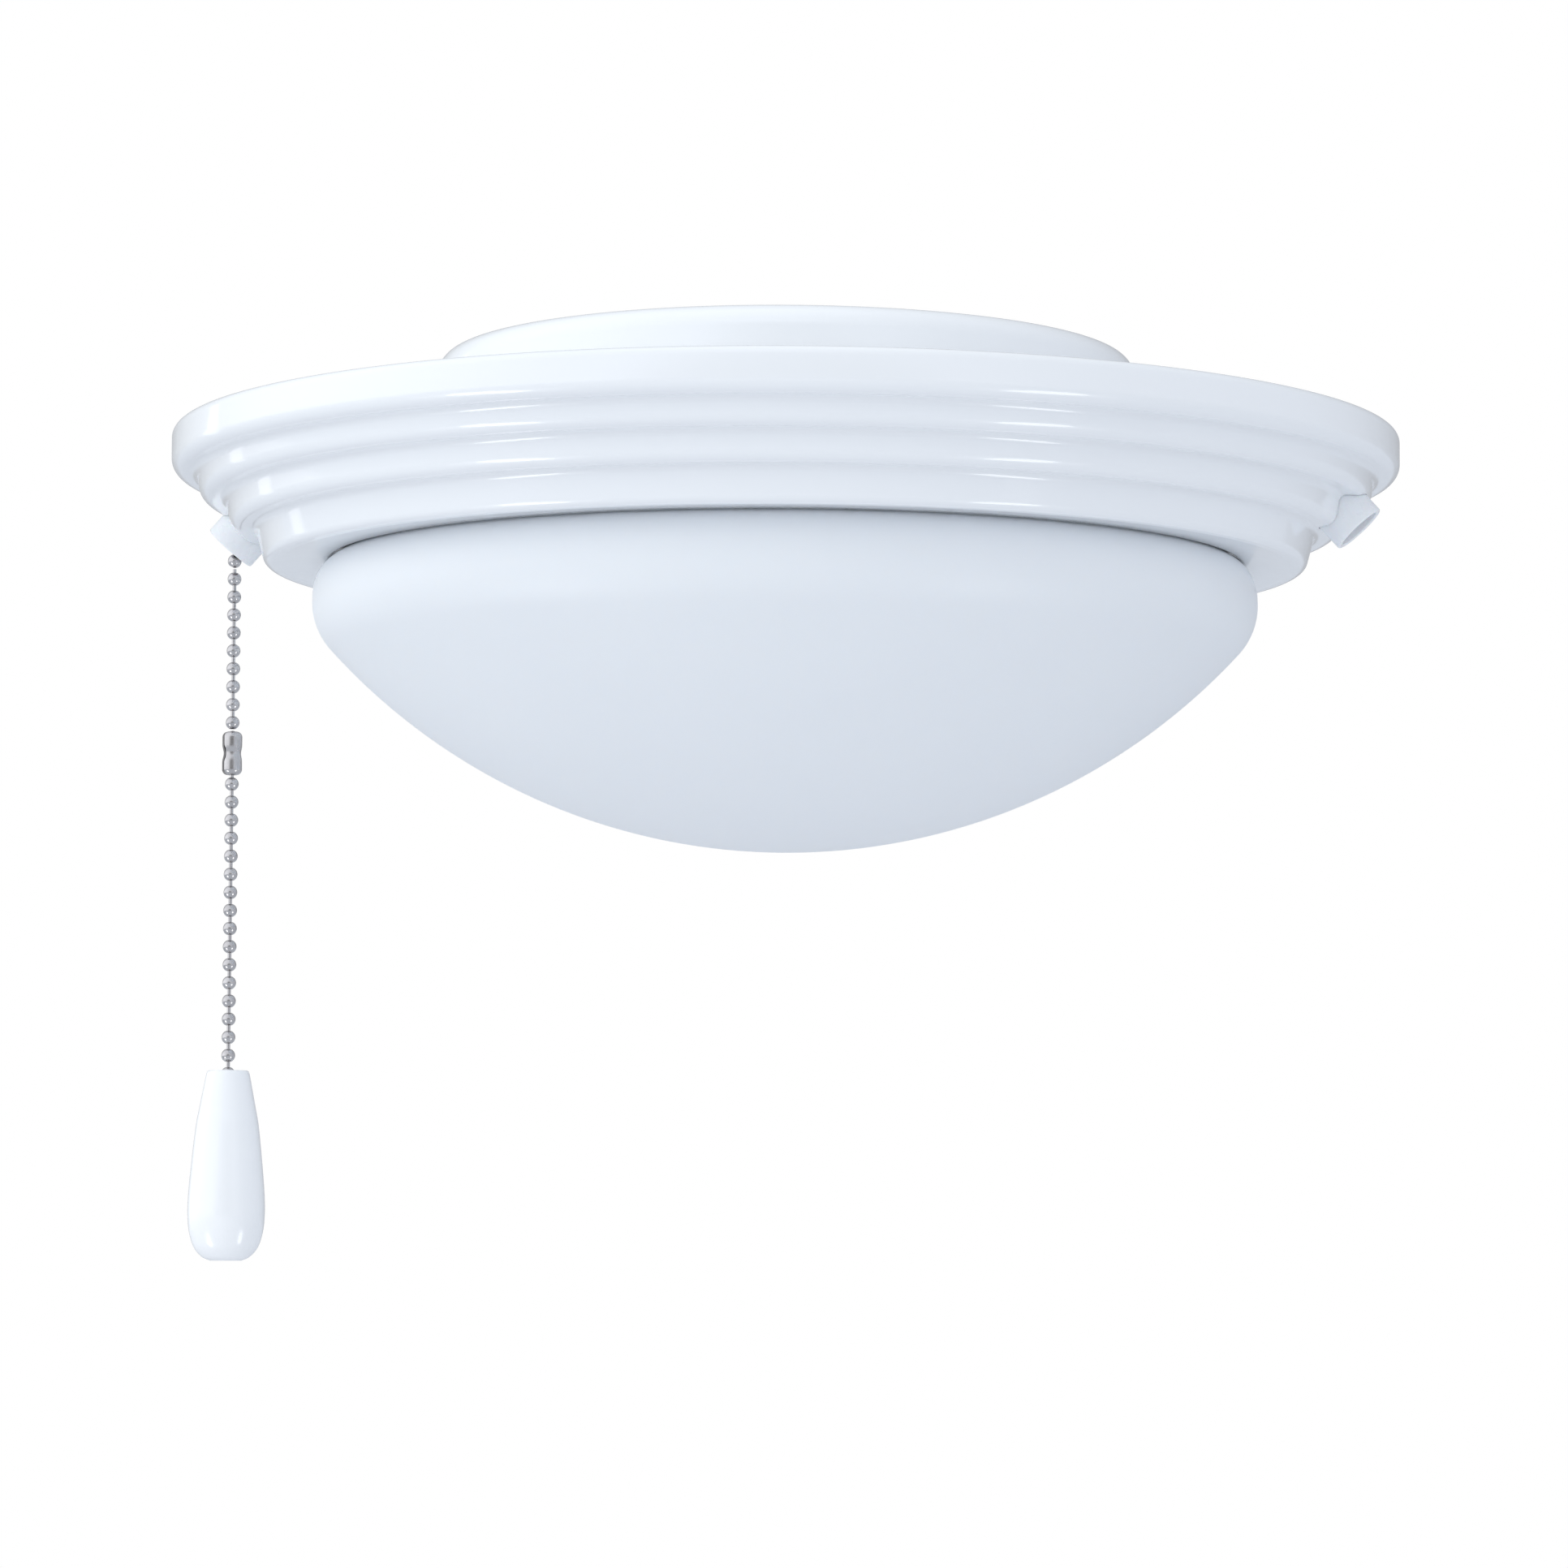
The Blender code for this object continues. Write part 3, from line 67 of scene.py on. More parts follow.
def filleted(corners, chord=FINE, longest=LONG):
    """Points along a line of (radius, height, fillet) corners. A corner with a fillet becomes the
    arc that touches both its sides, and long straight runs are cut into equal parts."""
    points = [np.array([corners[0][:2]])]
    for before, here, after in zip(corners, corners[1:], corners[2:]):
        corner, fillet = np.array(here[:2]), here[2]
        if not fillet:
            points.append(corner[None])
            continue
        back, ahead = (np.array(other[:2]) - corner for other in (before, after))
        back, ahead = back / np.linalg.norm(back), ahead / np.linalg.norm(ahead)
        half = math.acos(np.clip(back @ ahead, -1, 1)) / 2
        inward = (back + ahead) / np.linalg.norm(back + ahead)
        centre = corner + inward * fillet / math.sin(half)
        spoke = corner + back * fillet / math.tan(half) - centre
        sweep = (math.pi - half * 2) * (-1 if back[0] * ahead[1] > back[1] * ahead[0] else 1)
        turn = np.linspace(0, sweep, max(3, math.ceil(abs(sweep) * fillet / chord) + 1))
        points.append(centre + np.column_stack([
            spoke[0] * np.cos(turn) - spoke[1] * np.sin(turn),
            spoke[0] * np.sin(turn) + spoke[1] * np.cos(turn)]))
    line = np.vstack([*points, np.array([corners[-1][:2]])])
    parts = np.maximum(1, np.ceil(np.linalg.norm(np.diff(line, axis=0), axis=1) / longest)).astype(int)
    start = np.repeat(np.arange(len(parts)), parts)
    share = np.arange(len(start)) - np.repeat(np.cumsum(parts) - parts, parts)
    along = np.append(start + share / parts[start], len(parts))
    return np.column_stack([np.interp(along, np.arange(len(line)), line[:, k]) for k in (0, 1)])


def aside(line, distance):
    """A line moved to its right by a distance, measured square to it."""
    ahead = np.gradient(line, axis=0)
    right = np.column_stack([ahead[:, 1], -ahead[:, 0]])
    return line + right / np.linalg.norm(right, axis=1)[:, None] * distance


def sheet_outline(line):
    """The closed outline of the steel sheet: its shown side, then back again on its other side."""
    return np.vstack([line, aside(line, SHEET)[::-1]])


def polar(radius, angle, height):
    """The points (r cos a, r sin a, h)."""
    return np.stack(np.broadcast_arrays(radius * np.cos(angle), radius * np.sin(angle), height), -1)


def grid_faces(rows, columns, round_rows=True):
    """Quads between the neighbours of a grid whose columns, and maybe rows, close on themselves."""
    row, column = np.meshgrid(np.arange(rows if round_rows else rows - 1), np.arange(columns), indexing="ij")
    below, beside = (row + 1) % rows, (column + 1) % columns
    corners = [row * columns + column, below * columns + column,
               below * columns + beside, row * columns + beside]
    return np.stack(corners, -1).reshape(-1, 4).tolist()


def revolved(outline, sides, shape=None):
    """A closed outline of (radius, height) points carried round Z. The point at outline step i and
    turn j is (r cos a, r sin a, h); shape(a, r, h) may return another r and h for each."""
    angle = np.arange(sides) * TURN / sides
    angle, radius, height = np.broadcast_arrays(angle, outline[:, :1], outline[:, 1:])
    if shape is not None:
        radius, height = shape(angle, radius, height)
    return polar(radius, angle, height).reshape(-1, 3), grid_faces(len(outline), sides)


def placed(surface, place):
    """A surface moved by a matrix."""
    points, faces = surface
    matrix = np.array(place)
    return points @ matrix[:3, :3].T + matrix[:3, 3], faces


def joined(surfaces):
    """Several surfaces as one."""
    starts = np.cumsum([0] + [len(points) for points, _ in surfaces])
    return (np.vstack([points for points, _ in surfaces]),
            [[corner + start for corner in face]
             for (_, faces), start in zip(surfaces, starts) for face in faces])


def shown(name, data):
    """A new object in the scene."""
    made = bpy.data.objects.new(name, data)
    bpy.context.scene.collection.objects.link(made)
    return made


def mesh_of(name, surface):
    """A mesh with doubled points merged and every face outwards."""
    points, faces = surface
    mesh = bpy.data.meshes.new(name)
    mesh.from_pydata(points.tolist(), [], faces)
    builder = bmesh.new()
    builder.from_mesh(mesh)
    bmesh.ops.remove_doubles(builder, verts=builder.verts[:], dist=1e-7)
    bmesh.ops.recalc_face_normals(builder, faces=builder.faces[:])
    builder.to_mesh(mesh)
    builder.free()
    return mesh


def piece(name, surface, dress, node, holes=(), body="housing", sharp=32):
    """A finished piece: smooth but for its sharp edges, bored with its holes (radius, length, place), dressed
    in its material (the slot name paired with it is not used) and riding on its body in place of its CAD
    node."""
    made = shown(name, mesh_of(name, surface))
    if holes:
        rods = [placed(revolved(np.array([(0, -length / 2), (radius, -length / 2),
                                          (radius, length / 2), (0, length / 2)]), 48), place)
                for radius, length, place in holes]
        drill = shown(name + "_drill", mesh_of(name + "_drill", joined(rods)))
        bore = made.modifiers.new("bore", "BOOLEAN")
        bore.operation, bore.solver, bore.object = "DIFFERENCE", "EXACT", drill
        bpy.context.view_layer.update()
        bored = bpy.data.meshes.new_from_object(
            made.evaluated_get(bpy.context.evaluated_depsgraph_get()))
        made.modifiers.clear()
        made.data = bored
        bpy.data.objects.remove(drill)
    slot, material = dress
    made.data.shade_smooth()
    made.data.set_sharp_from_angle(angle=math.radians(sharp))
    made.data.materials.clear()
    made.data.materials.append(material)
    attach(made, body)
    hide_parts(node)


def at(x, y, z):
    """A place without a turn."""
    return Matrix.Translation((x, y, z))


def wired(tree, kind, inputs=(), **settings):
    """A new node with its settings, and its inputs either plain or linked to another's output."""
    made = tree.nodes.new("ShaderNode" + kind)
    for setting, value in settings.items():
        setattr(made, setting, value)
    for socket, value in dict(inputs).items():
        if isinstance(value, bpy.types.NodeSocket):
            tree.links.new(value, made.inputs[socket])
        else:
            made.inputs[socket].default_value = value
    return made


def noise(tree, scale, detail):
    """Noise in the piece's own coordinates, with about scale features in a metre."""
    where = wired(tree, "TexCoord").outputs["Object"]
    return wired(tree, "TexNoise", {"Vector": where, "Scale": scale, "Detail": detail}).outputs["Fac"]


def spread(tree, low, high, source):
    """The range that noise mostly keeps to, 0.32 to 0.68, spread over two values or two colours."""
    ends = {"Value": source, "From Min": 0.32, "From Max": 0.68}
    if np.ndim(low):
        share = wired(tree, "MapRange", ends).outputs["Result"]
        colours = {"Factor": share, "A": (*low, 1), "B": (*high, 1)}
        return wired(tree, "Mix", colours, data_type="RGBA").outputs["Result"]
    return wired(tree, "MapRange", {**ends, "To Min": low, "To Max": high}).outputs["Result"]


def finish(name, colour, roughness, tones=None, sheens=None, bumps=(), **sockets):
    """A Principled material with its plain values on the shader's own sockets. Noise moves the
    colour and the roughness between (low, high, scale, detail), and each bump raises the surface by
    up to (depth, scale, detail)."""
    material = bpy.data.materials.new(name)
    material.use_nodes = True
    material.diffuse_color = (*colour, 1.0)
    tree = material.node_tree
    shader = tree.nodes["Principled BSDF"].inputs
    shader["Base Color"].default_value, shader["Roughness"].default_value = (*colour, 1.0), roughness
    for socket, value in sockets.items():
        shader[socket.replace("_", " ")].default_value = value
    for socket, ends in (("Base Color", tones), ("Roughness", sheens)):
        if ends:
            low, high, scale, detail = ends
            tree.links.new(spread(tree, low, high, noise(tree, scale, detail)), shader[socket])
    raised = {}
    for depth, scale, detail in bumps:
        bump = wired(tree, "Bump", {"Distance": depth, "Height": noise(tree, scale, detail), **raised})
        raised = {"Normal": bump.outputs["Normal"]}
        tree.links.new(bump.outputs["Normal"], shader["Normal"])
    return material


enamel = "enamel", finish(
    "white_enamel", (0.905, 0.925, 0.95), 0.09, ((0.897, 0.917, 0.943), (0.915, 0.935, 0.96), 9, 2),
    (0.07, 0.12, 60, 4), [(0.000012, 160, 2), (0.000004, 900, 2)],
    Specular_IOR_Level=0.62, Coat_Weight=0.25, Coat_Roughness=0.04)

skirt = RIM_RADIUS - RIM_LIP - GAP
canopy_line = filleted([
    (NIPPLE_RADIUS + GAP, 0, 0), (CUP_RADIUS, 0, CUP_ROUND),
    (CUP_RADIUS, RIM_Z + FLANGE_RISE, FLANGE_ROUND), (skirt, RIM_Z, SKIRT_ROUND),
    (skirt, RIM_Z - RIM_BAND + SHEET + SKIRT_CLEARANCE, 0)])
piece("spun_canopy", revolved(sheet_outline(canopy_line), 180), enamel, "canopy",
      [(CHAIN_PASS_RADIUS, SHEET * 4, at(CHAIN_PASS_PLACE, 0, 0))])


# Fitter pan
# Stamped from one 0.8 mm sheet: rim band, three rolled rings, foot, underside and the well that
# takes the glass and the lampholders. Enamelled with the canopy, holes punched for its fittings.

RING_TREAD, RING_HEIGHTS, RING_LEANS = 0.0057, (0.0058, 0.0067, 0.0078), (0.0010, 0.0011, 0.0021)
RING_ROUND, GROOVE_ROUND, RIM_ROUND = 0.0030, 0.0019, 0.0019
FOOT_WIDTH, FOOT_ROUND = 0.0033, 0.0009
LEDGE_RISE, LEDGE_WIDTH, LEDGE_LIP, LEDGE_ROUND = 0.0014, 0.0092, 0.0006, 0.0015
SEAT_WIDTH, SEAT_RISE = 0.0059, 0.0012  # the seat is pressed above the ledge
WELL_RADIUS, WELL_ROUND, WELL_DEPTH = 0.0956, 0.0015, 0.0261
OUTLET_TILT, OUTLET_HEIGHT_SHARE, OUTLET_REACH = math.radians(47.5), 0.39, 0.0061
BRACKET_DEPTH, FERRULE_RADIUS = 0.0030, 0.00635
GROMMET_PLACE, GROMMET_HOLE = 0.0580, 0.0053
LEFT, RIGHT = math.pi, 0
UNDERSIDE_Z = FOOT_Z + LEDGE_RISE
DECK_Z = UNDERSIDE_Z + WELL_DEPTH
DECK_TOP = DECK_Z + SHEET

ring_corners = [(RIM_RADIUS, RIM_Z - RIM_BAND, RING_ROUND)]
for drop, lean in zip(RING_HEIGHTS, RING_LEANS):
    radius, height = ring_corners[-1][0] - RING_TREAD, ring_corners[-1][1]
    ring_corners += [(radius, height, GROOVE_ROUND), (radius - lean, height - drop, RING_ROUND)]
pan_line = filleted([
    (RIM_RADIUS - RIM_LIP, RIM_Z, 0), (RIM_RADIUS, RIM_Z, RIM_ROUND), *ring_corners[:-1],
    (ring_corners[-1][0], FOOT_Z, RING_ROUND - FOOT_ROUND),
    (ring_corners[-1][0] - FOOT_WIDTH, FOOT_Z, FOOT_ROUND),
    (WELL_RADIUS + LEDGE_WIDTH, FOOT_Z + LEDGE_LIP, LEDGE_ROUND),
    (WELL_RADIUS + SEAT_WIDTH, UNDERSIDE_Z + SEAT_RISE, LEDGE_ROUND),
    (WELL_RADIUS, UNDERSIDE_Z + SEAT_RISE, WELL_ROUND),
    (WELL_RADIUS, DECK_Z, WELL_ROUND), (NIPPLE_RADIUS + GAP, DECK_Z, 0)])
ring_top, ring_foot = np.array(ring_corners[3][:2]), np.array(ring_corners[4][:2])
ring_face = ring_top + (ring_foot - ring_top) * OUTLET_HEIGHT_SHARE


def turned(angle, axis="Z"):
    """A turn about an axis."""
    return Matrix.Rotation(angle, 4, axis)


def outlet_frame(side):
    way = Vector((math.cos(OUTLET_TILT), 0, -math.sin(OUTLET_TILT)))
    mouth = Vector((ring_face[0], 0, ring_face[1])) + way * OUTLET_REACH
    return turned(side) @ at(*mouth) @ turned(math.pi / 2 + OUTLET_TILT, "Y")


punch = OUTLET_REACH + BRACKET_DEPTH
piece("stamped_pan", revolved(sheet_outline(pan_line), 240), enamel, "fitter_pan", [
    *((FERRULE_RADIUS + GAP / 2, punch * 2, outlet_frame(side) @ at(0, 0, -punch)) for side in (LEFT, RIGHT)),
    (GROMMET_HOLE, SHEET * 4, at(-GROMMET_PLACE, 0, DECK_Z))])


# Centre fixing
# A 1/8 IP running-thread nipple of zinc-plated steel through the canopy and the deck, with hexagon
# nuts that clamp both and, on top, the toothed washer and locknut for the fan's own plate.

NIPPLE_BORE = 0.0036
IP_PITCH, IP_DEPTH = 0.00094, 0.0005    # 27 threads to the inch
NUT_FLATS, NUT_CHAMFER, NUT_SINK_SHARE = 0.0170, 1.8, 0.13
NUT_SIDE_SHARES = (0, 0.05, 0.1, 0.15, 0.2, 0.28, 0.5, 0.72, 0.8, 0.85, 0.9, 0.95, 1)
WASHER_RADIUS, WASHER_TEETH, WASHER_TOOTH, WASHER_THINNING = 0.0090, 8, 0.0014, 0.0001
TOOTH_HALF_SHARE, TOOTH_DEPTH_SHARE, TOOTH_TWIST = 0.28, 0.9, 0.0002

zinc = "zinc", finish(
    "zinc_plate", (0.60, 0.62, 0.645), 0.34, ((0.53, 0.55, 0.58), (0.66, 0.68, 0.70), 120, 5),
    (0.24, 0.45, 400, 4), [(0.00001, 1200, 3)], Metallic=1.0)


def faded(height, low, high, run):
    """1 between two levels, with a fall to 0 over a run at each end."""
    return np.clip(np.minimum(height - low, high - height) / run, 0, 1)


def under(value, edge, steepness):
    """A soft step (1 - tanh((value - edge) steepness / 2)) / 2: 1 under the edge and 0 over it."""
    return (1 - np.tanh((value - edge) * steepness / 2)) / 2


def threaded(crest, depth, pitch, low, high):
    """A screw thread on a turned side: where the outline is at the crest, the radius falls by up to
    the depth with the distance of (height / pitch - angle / turn) from a whole number; the thread
    fades in and out over one pitch at its ends."""
    def shape(angle, radius, height):
        phase = np.abs((height / pitch - angle / TURN) % 1 * 2 - 1)
        cut = depth * phase * faded(height, low, high, pitch)
        return np.where(np.abs(radius - crest) < 1e-6, radius - cut, radius), height
    return shape


def nut_surface(flats, bore, low, high):
    """A hexagon nut. Outside, r(a) is the smaller of the hexagon's polar radius, flats / 2 over
    the cosine of the angle from the nearest flat, and the cone of the chamfer at that height."""
    def shape(angle, radius, height):
        face = flats / 2 / np.cos((angle + TURN / 12) % (TURN / 6) - TURN / 12)
        cone = flats / 2 + np.minimum(height - low, high - height) * NUT_CHAMFER
        return np.where(radius > flats / 2 - 1e-6, np.minimum(face, cone), radius), height
    side = [(flats / 2, low + (high - low) * share, 0) for share in NUT_SIDE_SHARES]
    sink = (high - low) * NUT_SINK_SHARE
    line = filleted([(bore, low + sink, 0), (bore + sink, low, 0), *side,
                     (bore + sink, high, 0), (bore, high - sink, 0)])
    return revolved(line, 144, shape)


def toothed(angle, radius, height):
    """A lock washer's teeth: towards the rim the radius steps in between teeth, and each tooth is
    twisted out of the plane by its own angle."""
    phase = (angle * WASHER_TEETH / TURN) % 1 - 0.5
    outer = np.clip((radius - WASHER_RADIUS + WASHER_TOOTH) / WASHER_TOOTH, 0, 1)
    between = 1 - under(np.abs(phase), TOOTH_HALF_SHARE, 60)
    return (radius - between * outer * WASHER_TOOTH * TOOTH_DEPTH_SHARE,
            height + phase * TOOTH_TWIST * outer)


low, high = (corner.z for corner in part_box("mounting_nipple"))
nipple_line = filleted([
    (NIPPLE_BORE, low, 0), (NIPPLE_BORE, high, 0),
    (NIPPLE_RADIUS - IP_DEPTH, high, 0), (NIPPLE_RADIUS, high - IP_DEPTH, 0),
    (NIPPLE_RADIUS, low + IP_DEPTH, 0), (NIPPLE_RADIUS - IP_DEPTH, low, 0)], longest=IP_PITCH / 6)
piece("running_thread_nipple", revolved(nipple_line, 72, threaded(
    NIPPLE_RADIUS, IP_DEPTH, IP_PITCH, low + IP_DEPTH, high - IP_DEPTH)), zinc, "mounting_nipple")
for made, node in (("fan_plate_locknut", "fan_locknut"), ("canopy_nut", "cup_nut"),
                   ("pan_nut_above", "deck_nut_upper"), ("pan_nut_below", "deck_nut_lower")):
    low, high = (corner.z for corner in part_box(node))
    piece(made, nut_surface(NUT_FLATS, NIPPLE_RADIUS + GAP, low, high), zinc, node)
low, high = (corner.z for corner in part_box("lock_washer"))
low, high = low + WASHER_THINNING, high - WASHER_THINNING
washer_line = filleted([
    (NIPPLE_RADIUS + GAP, low, 0), (NIPPLE_RADIUS + GAP, high, 0), (WASHER_RADIUS, high, 0),
    (WASHER_RADIUS, low, 0), (NIPPLE_RADIUS + GAP * 1.2, low, 0)], longest=0.0007)
piece("external_tooth_washer", revolved(washer_line, 160, toothed), zinc, "lock_washer")


# Opal glass bowl
# Pressed opal glass, 3 mm thick and satin-etched outside: a shallow bowl under a rounded shoulder,
# and a neck whose three lugs turn over the tabs in the well and hold it.

BOWL_WALL, BOWL_DEPTH, BOWL_CLEARANCE = 0.0030, 0.0558, 0.0001
SHOULDER_WIDTH, SHOULDER_HEIGHT, SHOULDER_FULLNESS = 0.0119, 0.0098 + SEAT_RISE, 0.8
FLANK_ROUND, NECK_FOOT = 0.0149, 0.0014
LIP_ROUND, LIP_DEPTH = 0.0010, 0.0040
LUG_REACH, LUG_HEIGHT, LUG_HALF_ANGLE = 0.0022, 0.0032, math.radians(10)
LUG_SIDE_STEEPNESS, LUG_TOP_STEEPNESS = 900, 12000      # per radian, and per metre
TAB_COUNT, TAB_START = 3, math.radians(90)
BOWL_RADIUS = WELL_RADIUS + 0.0123      # the glass stands out past the well
NECK_RADIUS = WELL_RADIUS - 0.0031      # and its neck stands clear inside it
NECK_TOP = UNDERSIDE_Z + 0.0106
SHOULDER_TOP = UNDERSIDE_Z + SEAT_RISE - BOWL_CLEARANCE
LUG_TOP, LUG_FOOT = NECK_TOP - 0.0002, NECK_TOP - LUG_HEIGHT

opal = "opal", finish(
    "opal_glass", (0.855, 0.885, 0.92), 0.42, ((0.845, 0.875, 0.912), (0.86, 0.89, 0.925), 14, 2),
    (0.38, 0.47, 90, 4), [(0.00002, 120, 2), (0.000004, 2600, 2)], Subsurface_Weight=0.3,
    Subsurface_Scale=0.003, Subsurface_Radius=(0.9, 1.0, 1.1), Specular_IOR_Level=0.42)


def arc(centre, radii, start, end, count):
    """Points on an ellipse about a centre, from one angle to another."""
    angle = np.linspace(start, end, count)
    return np.column_stack([centre[0] + radii[0] * np.cos(angle), centre[1] + radii[1] * np.sin(angle)])


def bowl_side(inset, count):
    """The wall from the shoulder's top to the bottom: a quarter superellipse out to the widest
    ring, an arc back in, and the sphere which that arc touches, all set in by a share of the wall."""
    widest = SHOULDER_TOP - SHOULDER_HEIGHT
    reach = BOWL_RADIUS - FLANK_ROUND
    sphere = (reach ** 2 + BOWL_DEPTH ** 2 - FLANK_ROUND ** 2) / (2 * (BOWL_DEPTH - FLANK_ROUND))
    join = math.atan2(sphere - BOWL_DEPTH, reach)
    quarter = np.linspace(math.pi / 2, 0, count)
    shoulder = np.column_stack([
        BOWL_RADIUS - SHOULDER_WIDTH + (SHOULDER_WIDTH - inset) * np.cos(quarter) ** SHOULDER_FULLNESS,
        widest + (SHOULDER_HEIGHT - inset) * np.abs(np.sin(quarter)) ** SHOULDER_FULLNESS])
    flank = arc((reach, widest), (FLANK_ROUND - inset,) * 2, 0, -join, count)
    bottom = arc((0, widest - BOWL_DEPTH + sphere), (sphere - inset,) * 2, -join, -math.pi / 2, count * 2)
    bottom[-1, 0] = 0
    return np.vstack([shoulder, flank[1:], bottom[1:]])


def lugged(angle, radius, height):
    """The lugs pressed out of the neck: the outer radius grows by their reach inside a window of
    angle and height with soft edges."""
    turn = (angle - TAB_START + TURN / TAB_COUNT / 2) % (TURN / TAB_COUNT) - TURN / TAB_COUNT / 2
    across = under(np.abs(turn), LUG_HALF_ANGLE * 0.97, LUG_SIDE_STEEPNESS)
    up = under(np.abs(height - (LUG_FOOT + LUG_TOP) / 2), LUG_HEIGHT * 0.42, LUG_TOP_STEEPNESS)
    outside = (radius > NECK_RADIUS - BOWL_WALL / 3) & (height > SHOULDER_TOP + NECK_FOOT)
    return radius + LUG_REACH * across * up * outside, height


neck_inside = NECK_RADIUS - BOWL_WALL
lip = filleted([
    (neck_inside, NECK_TOP - LIP_DEPTH, 0), (neck_inside, NECK_TOP, LIP_ROUND),
    (NECK_RADIUS, NECK_TOP, LIP_ROUND), (NECK_RADIUS, SHOULDER_TOP + NECK_FOOT, 0)], longest=0.0003)
inner = bowl_side(BOWL_WALL, 18)
inner[0] = (neck_inside, SHOULDER_TOP - BOWL_WALL / 2)
piece("opal_bowl", revolved(np.vstack([lip, bowl_side(0, 28), inner[::-1]]), 240, lugged), opal,
      "glass_bowl", body="glass")


# Chain outlets
# White moulded ferrules through the middle ring. The left one guides the light's chain from the
# pull switch; the right one stands empty, with a flanged guide behind it for the fan's own chain.

FERRULE_BORE, FERRULE_EDGE = 0.0051, 0.0004
BRACKET_SHEET = 0.0010
GUIDE_RADIUS, GUIDE_BORE, GUIDE_LENGTH, GUIDE_EDGE = 0.0048, 0.0039, 0.0050, 0.0003
GUIDE_FLANGE, GUIDE_FLANGE_HEIGHT = 0.0075, 0.0016
SEAT_DEPTH = OUTLET_REACH + BRACKET_DEPTH
SEAT_BACK = SEAT_DEPTH + BRACKET_SHEET + GAP

moulding = "white_plastic", finish(
    "white_moulding", (0.89, 0.91, 0.935), 0.30, ((0.88, 0.90, 0.925), (0.90, 0.92, 0.945), 60, 3),
    (0.22, 0.36, 300, 4), [(0.00001, 700, 3)], Subsurface_Weight=0.08, Subsurface_Scale=0.002,
    Coat_Weight=0.1, Coat_Roughness=0.2)

ferrule_line = filleted([
    (FERRULE_BORE, -SEAT_DEPTH + GAP, 0), (FERRULE_BORE, 0, FERRULE_EDGE),
    (FERRULE_RADIUS, 0, FERRULE_EDGE), (FERRULE_RADIUS, -SEAT_DEPTH + GAP, 0)],
    chord=0.00008, longest=0.0015)
for made, node, side in (("chain_ferrule", "ferrule_left", LEFT), ("empty_ferrule", "ferrule_right", RIGHT)):
    piece(made, placed(revolved(ferrule_line, 96), outlet_frame(side)), moulding, node)
guide_mouth = -SEAT_BACK + GUIDE_LENGTH + BRACKET_SHEET + GAP * 2
guide_back = -SEAT_BACK - GUIDE_FLANGE_HEIGHT
guide_line = filleted([
    (GUIDE_BORE, guide_back, 0), (GUIDE_BORE, guide_mouth, GUIDE_EDGE),
    (GUIDE_RADIUS, guide_mouth, GUIDE_EDGE), (GUIDE_RADIUS, -SEAT_BACK, 0),
    (GUIDE_FLANGE, -SEAT_BACK, GUIDE_EDGE), (GUIDE_FLANGE, guide_back, GUIDE_EDGE),
    (GUIDE_BORE + 0.0001, guide_back, 0)],
    chord=0.0001, longest=0.001)
piece("fan_chain_guide", placed(revolved(guide_line, 72), outlet_frame(RIGHT)), moulding, "chain_guide")


# Beaded chain
# Size 6 nickel-plated ball chain: rolled hollow balls on short dumbbell links. The tail runs from
# the switch out of the left ferrule, and a folded coupling joins the upper and the lower strand.

BEAD_RADIUS, BEAD_PITCH, LINK_RADIUS, DIMPLE = 0.0016, 0.0042, 0.00043, 0.00018
SEAM_TURN, SEAM_WIDTH, SEAM_DEPTH = math.radians(25), 0.06, 0.00005     # the width in radians
HANG_DROP, HANG_OUT = 0.0029, 0.0014
TAIL_TILT, TAIL_BEADS, ANCHOR_RADIUS = math.radians(60), 5, 0.0018
UPPER_BEADS, LOWER_BEADS = 9, 16
COUPLING_LENGTH, COUPLING_RADIUS, COUPLING_WALL, COUPLING_HOLE = 0.0101, 0.0023, 0.0004, 0.00075
COUPLING_CROWN, COUPLING_WAIST, COUPLING_TURN = COUPLING_WALL * 3.2, 0.00026, math.radians(32)
SLOT_HALF, SLOT_LIPS = 0.00085, 0.00045     # half the slot, and what its lips open it by
WAIST_SHARE, LIPS_SHARE = 0.22, 0.30        # how far both reach, of half the sleeve's length

nickel = "nickel", finish(
    "nickel_plate", (0.57, 0.555, 0.555), 0.2, ((0.53, 0.515, 0.515), (0.61, 0.595, 0.595), 500, 3),
    (0.17, 0.25, 1500, 4), [(0.0000015, 2500, 3)], Metallic=1.0)


def strand_line(levels, top=None, sizes=1.0):
    """The outline of a strand. Ball k is an arc r = R sin t, h = level k + R cos t between two small
    dimples, and the straight runs from one ball's dimple to the next are the links; top is the level
    at which the first link stops, or None where it stops with the ball."""
    levels = np.array(levels)[:, None]
    hole = math.asin(LINK_RADIUS * 1.6 / BEAD_RADIUS)
    angle = np.linspace(hole, math.pi - hole, 15)
    link = levels * 0 + LINK_RADIUS
    radius = np.hstack([link, levels * 0 + BEAD_RADIUS * np.sin(angle) * sizes, link])
    height = levels + BEAD_RADIUS * np.cos(angle) * sizes
    height = np.hstack([height[:, :1] - DIMPLE, height, height[:, -1:] + DIMPLE])
    line = np.column_stack([radius.ravel(), height.ravel()])
    top, bottom = line[0, 1] if top is None else top, line[-1, 1]
    return np.vstack([[(0, top), (LINK_RADIUS, top)], line, [(LINK_RADIUS, bottom), (0, bottom)]])


def seamed(angle, radius, height):
    """The rolled seam of each ball: a fine groove down one side of the balls."""
    across = np.abs((angle + SEAM_TURN) % TURN - math.pi)
    groove = np.exp(-(across / SEAM_WIDTH) ** 2) * (radius > BEAD_RADIUS * 0.45)
    return radius - groove * SEAM_DEPTH, height


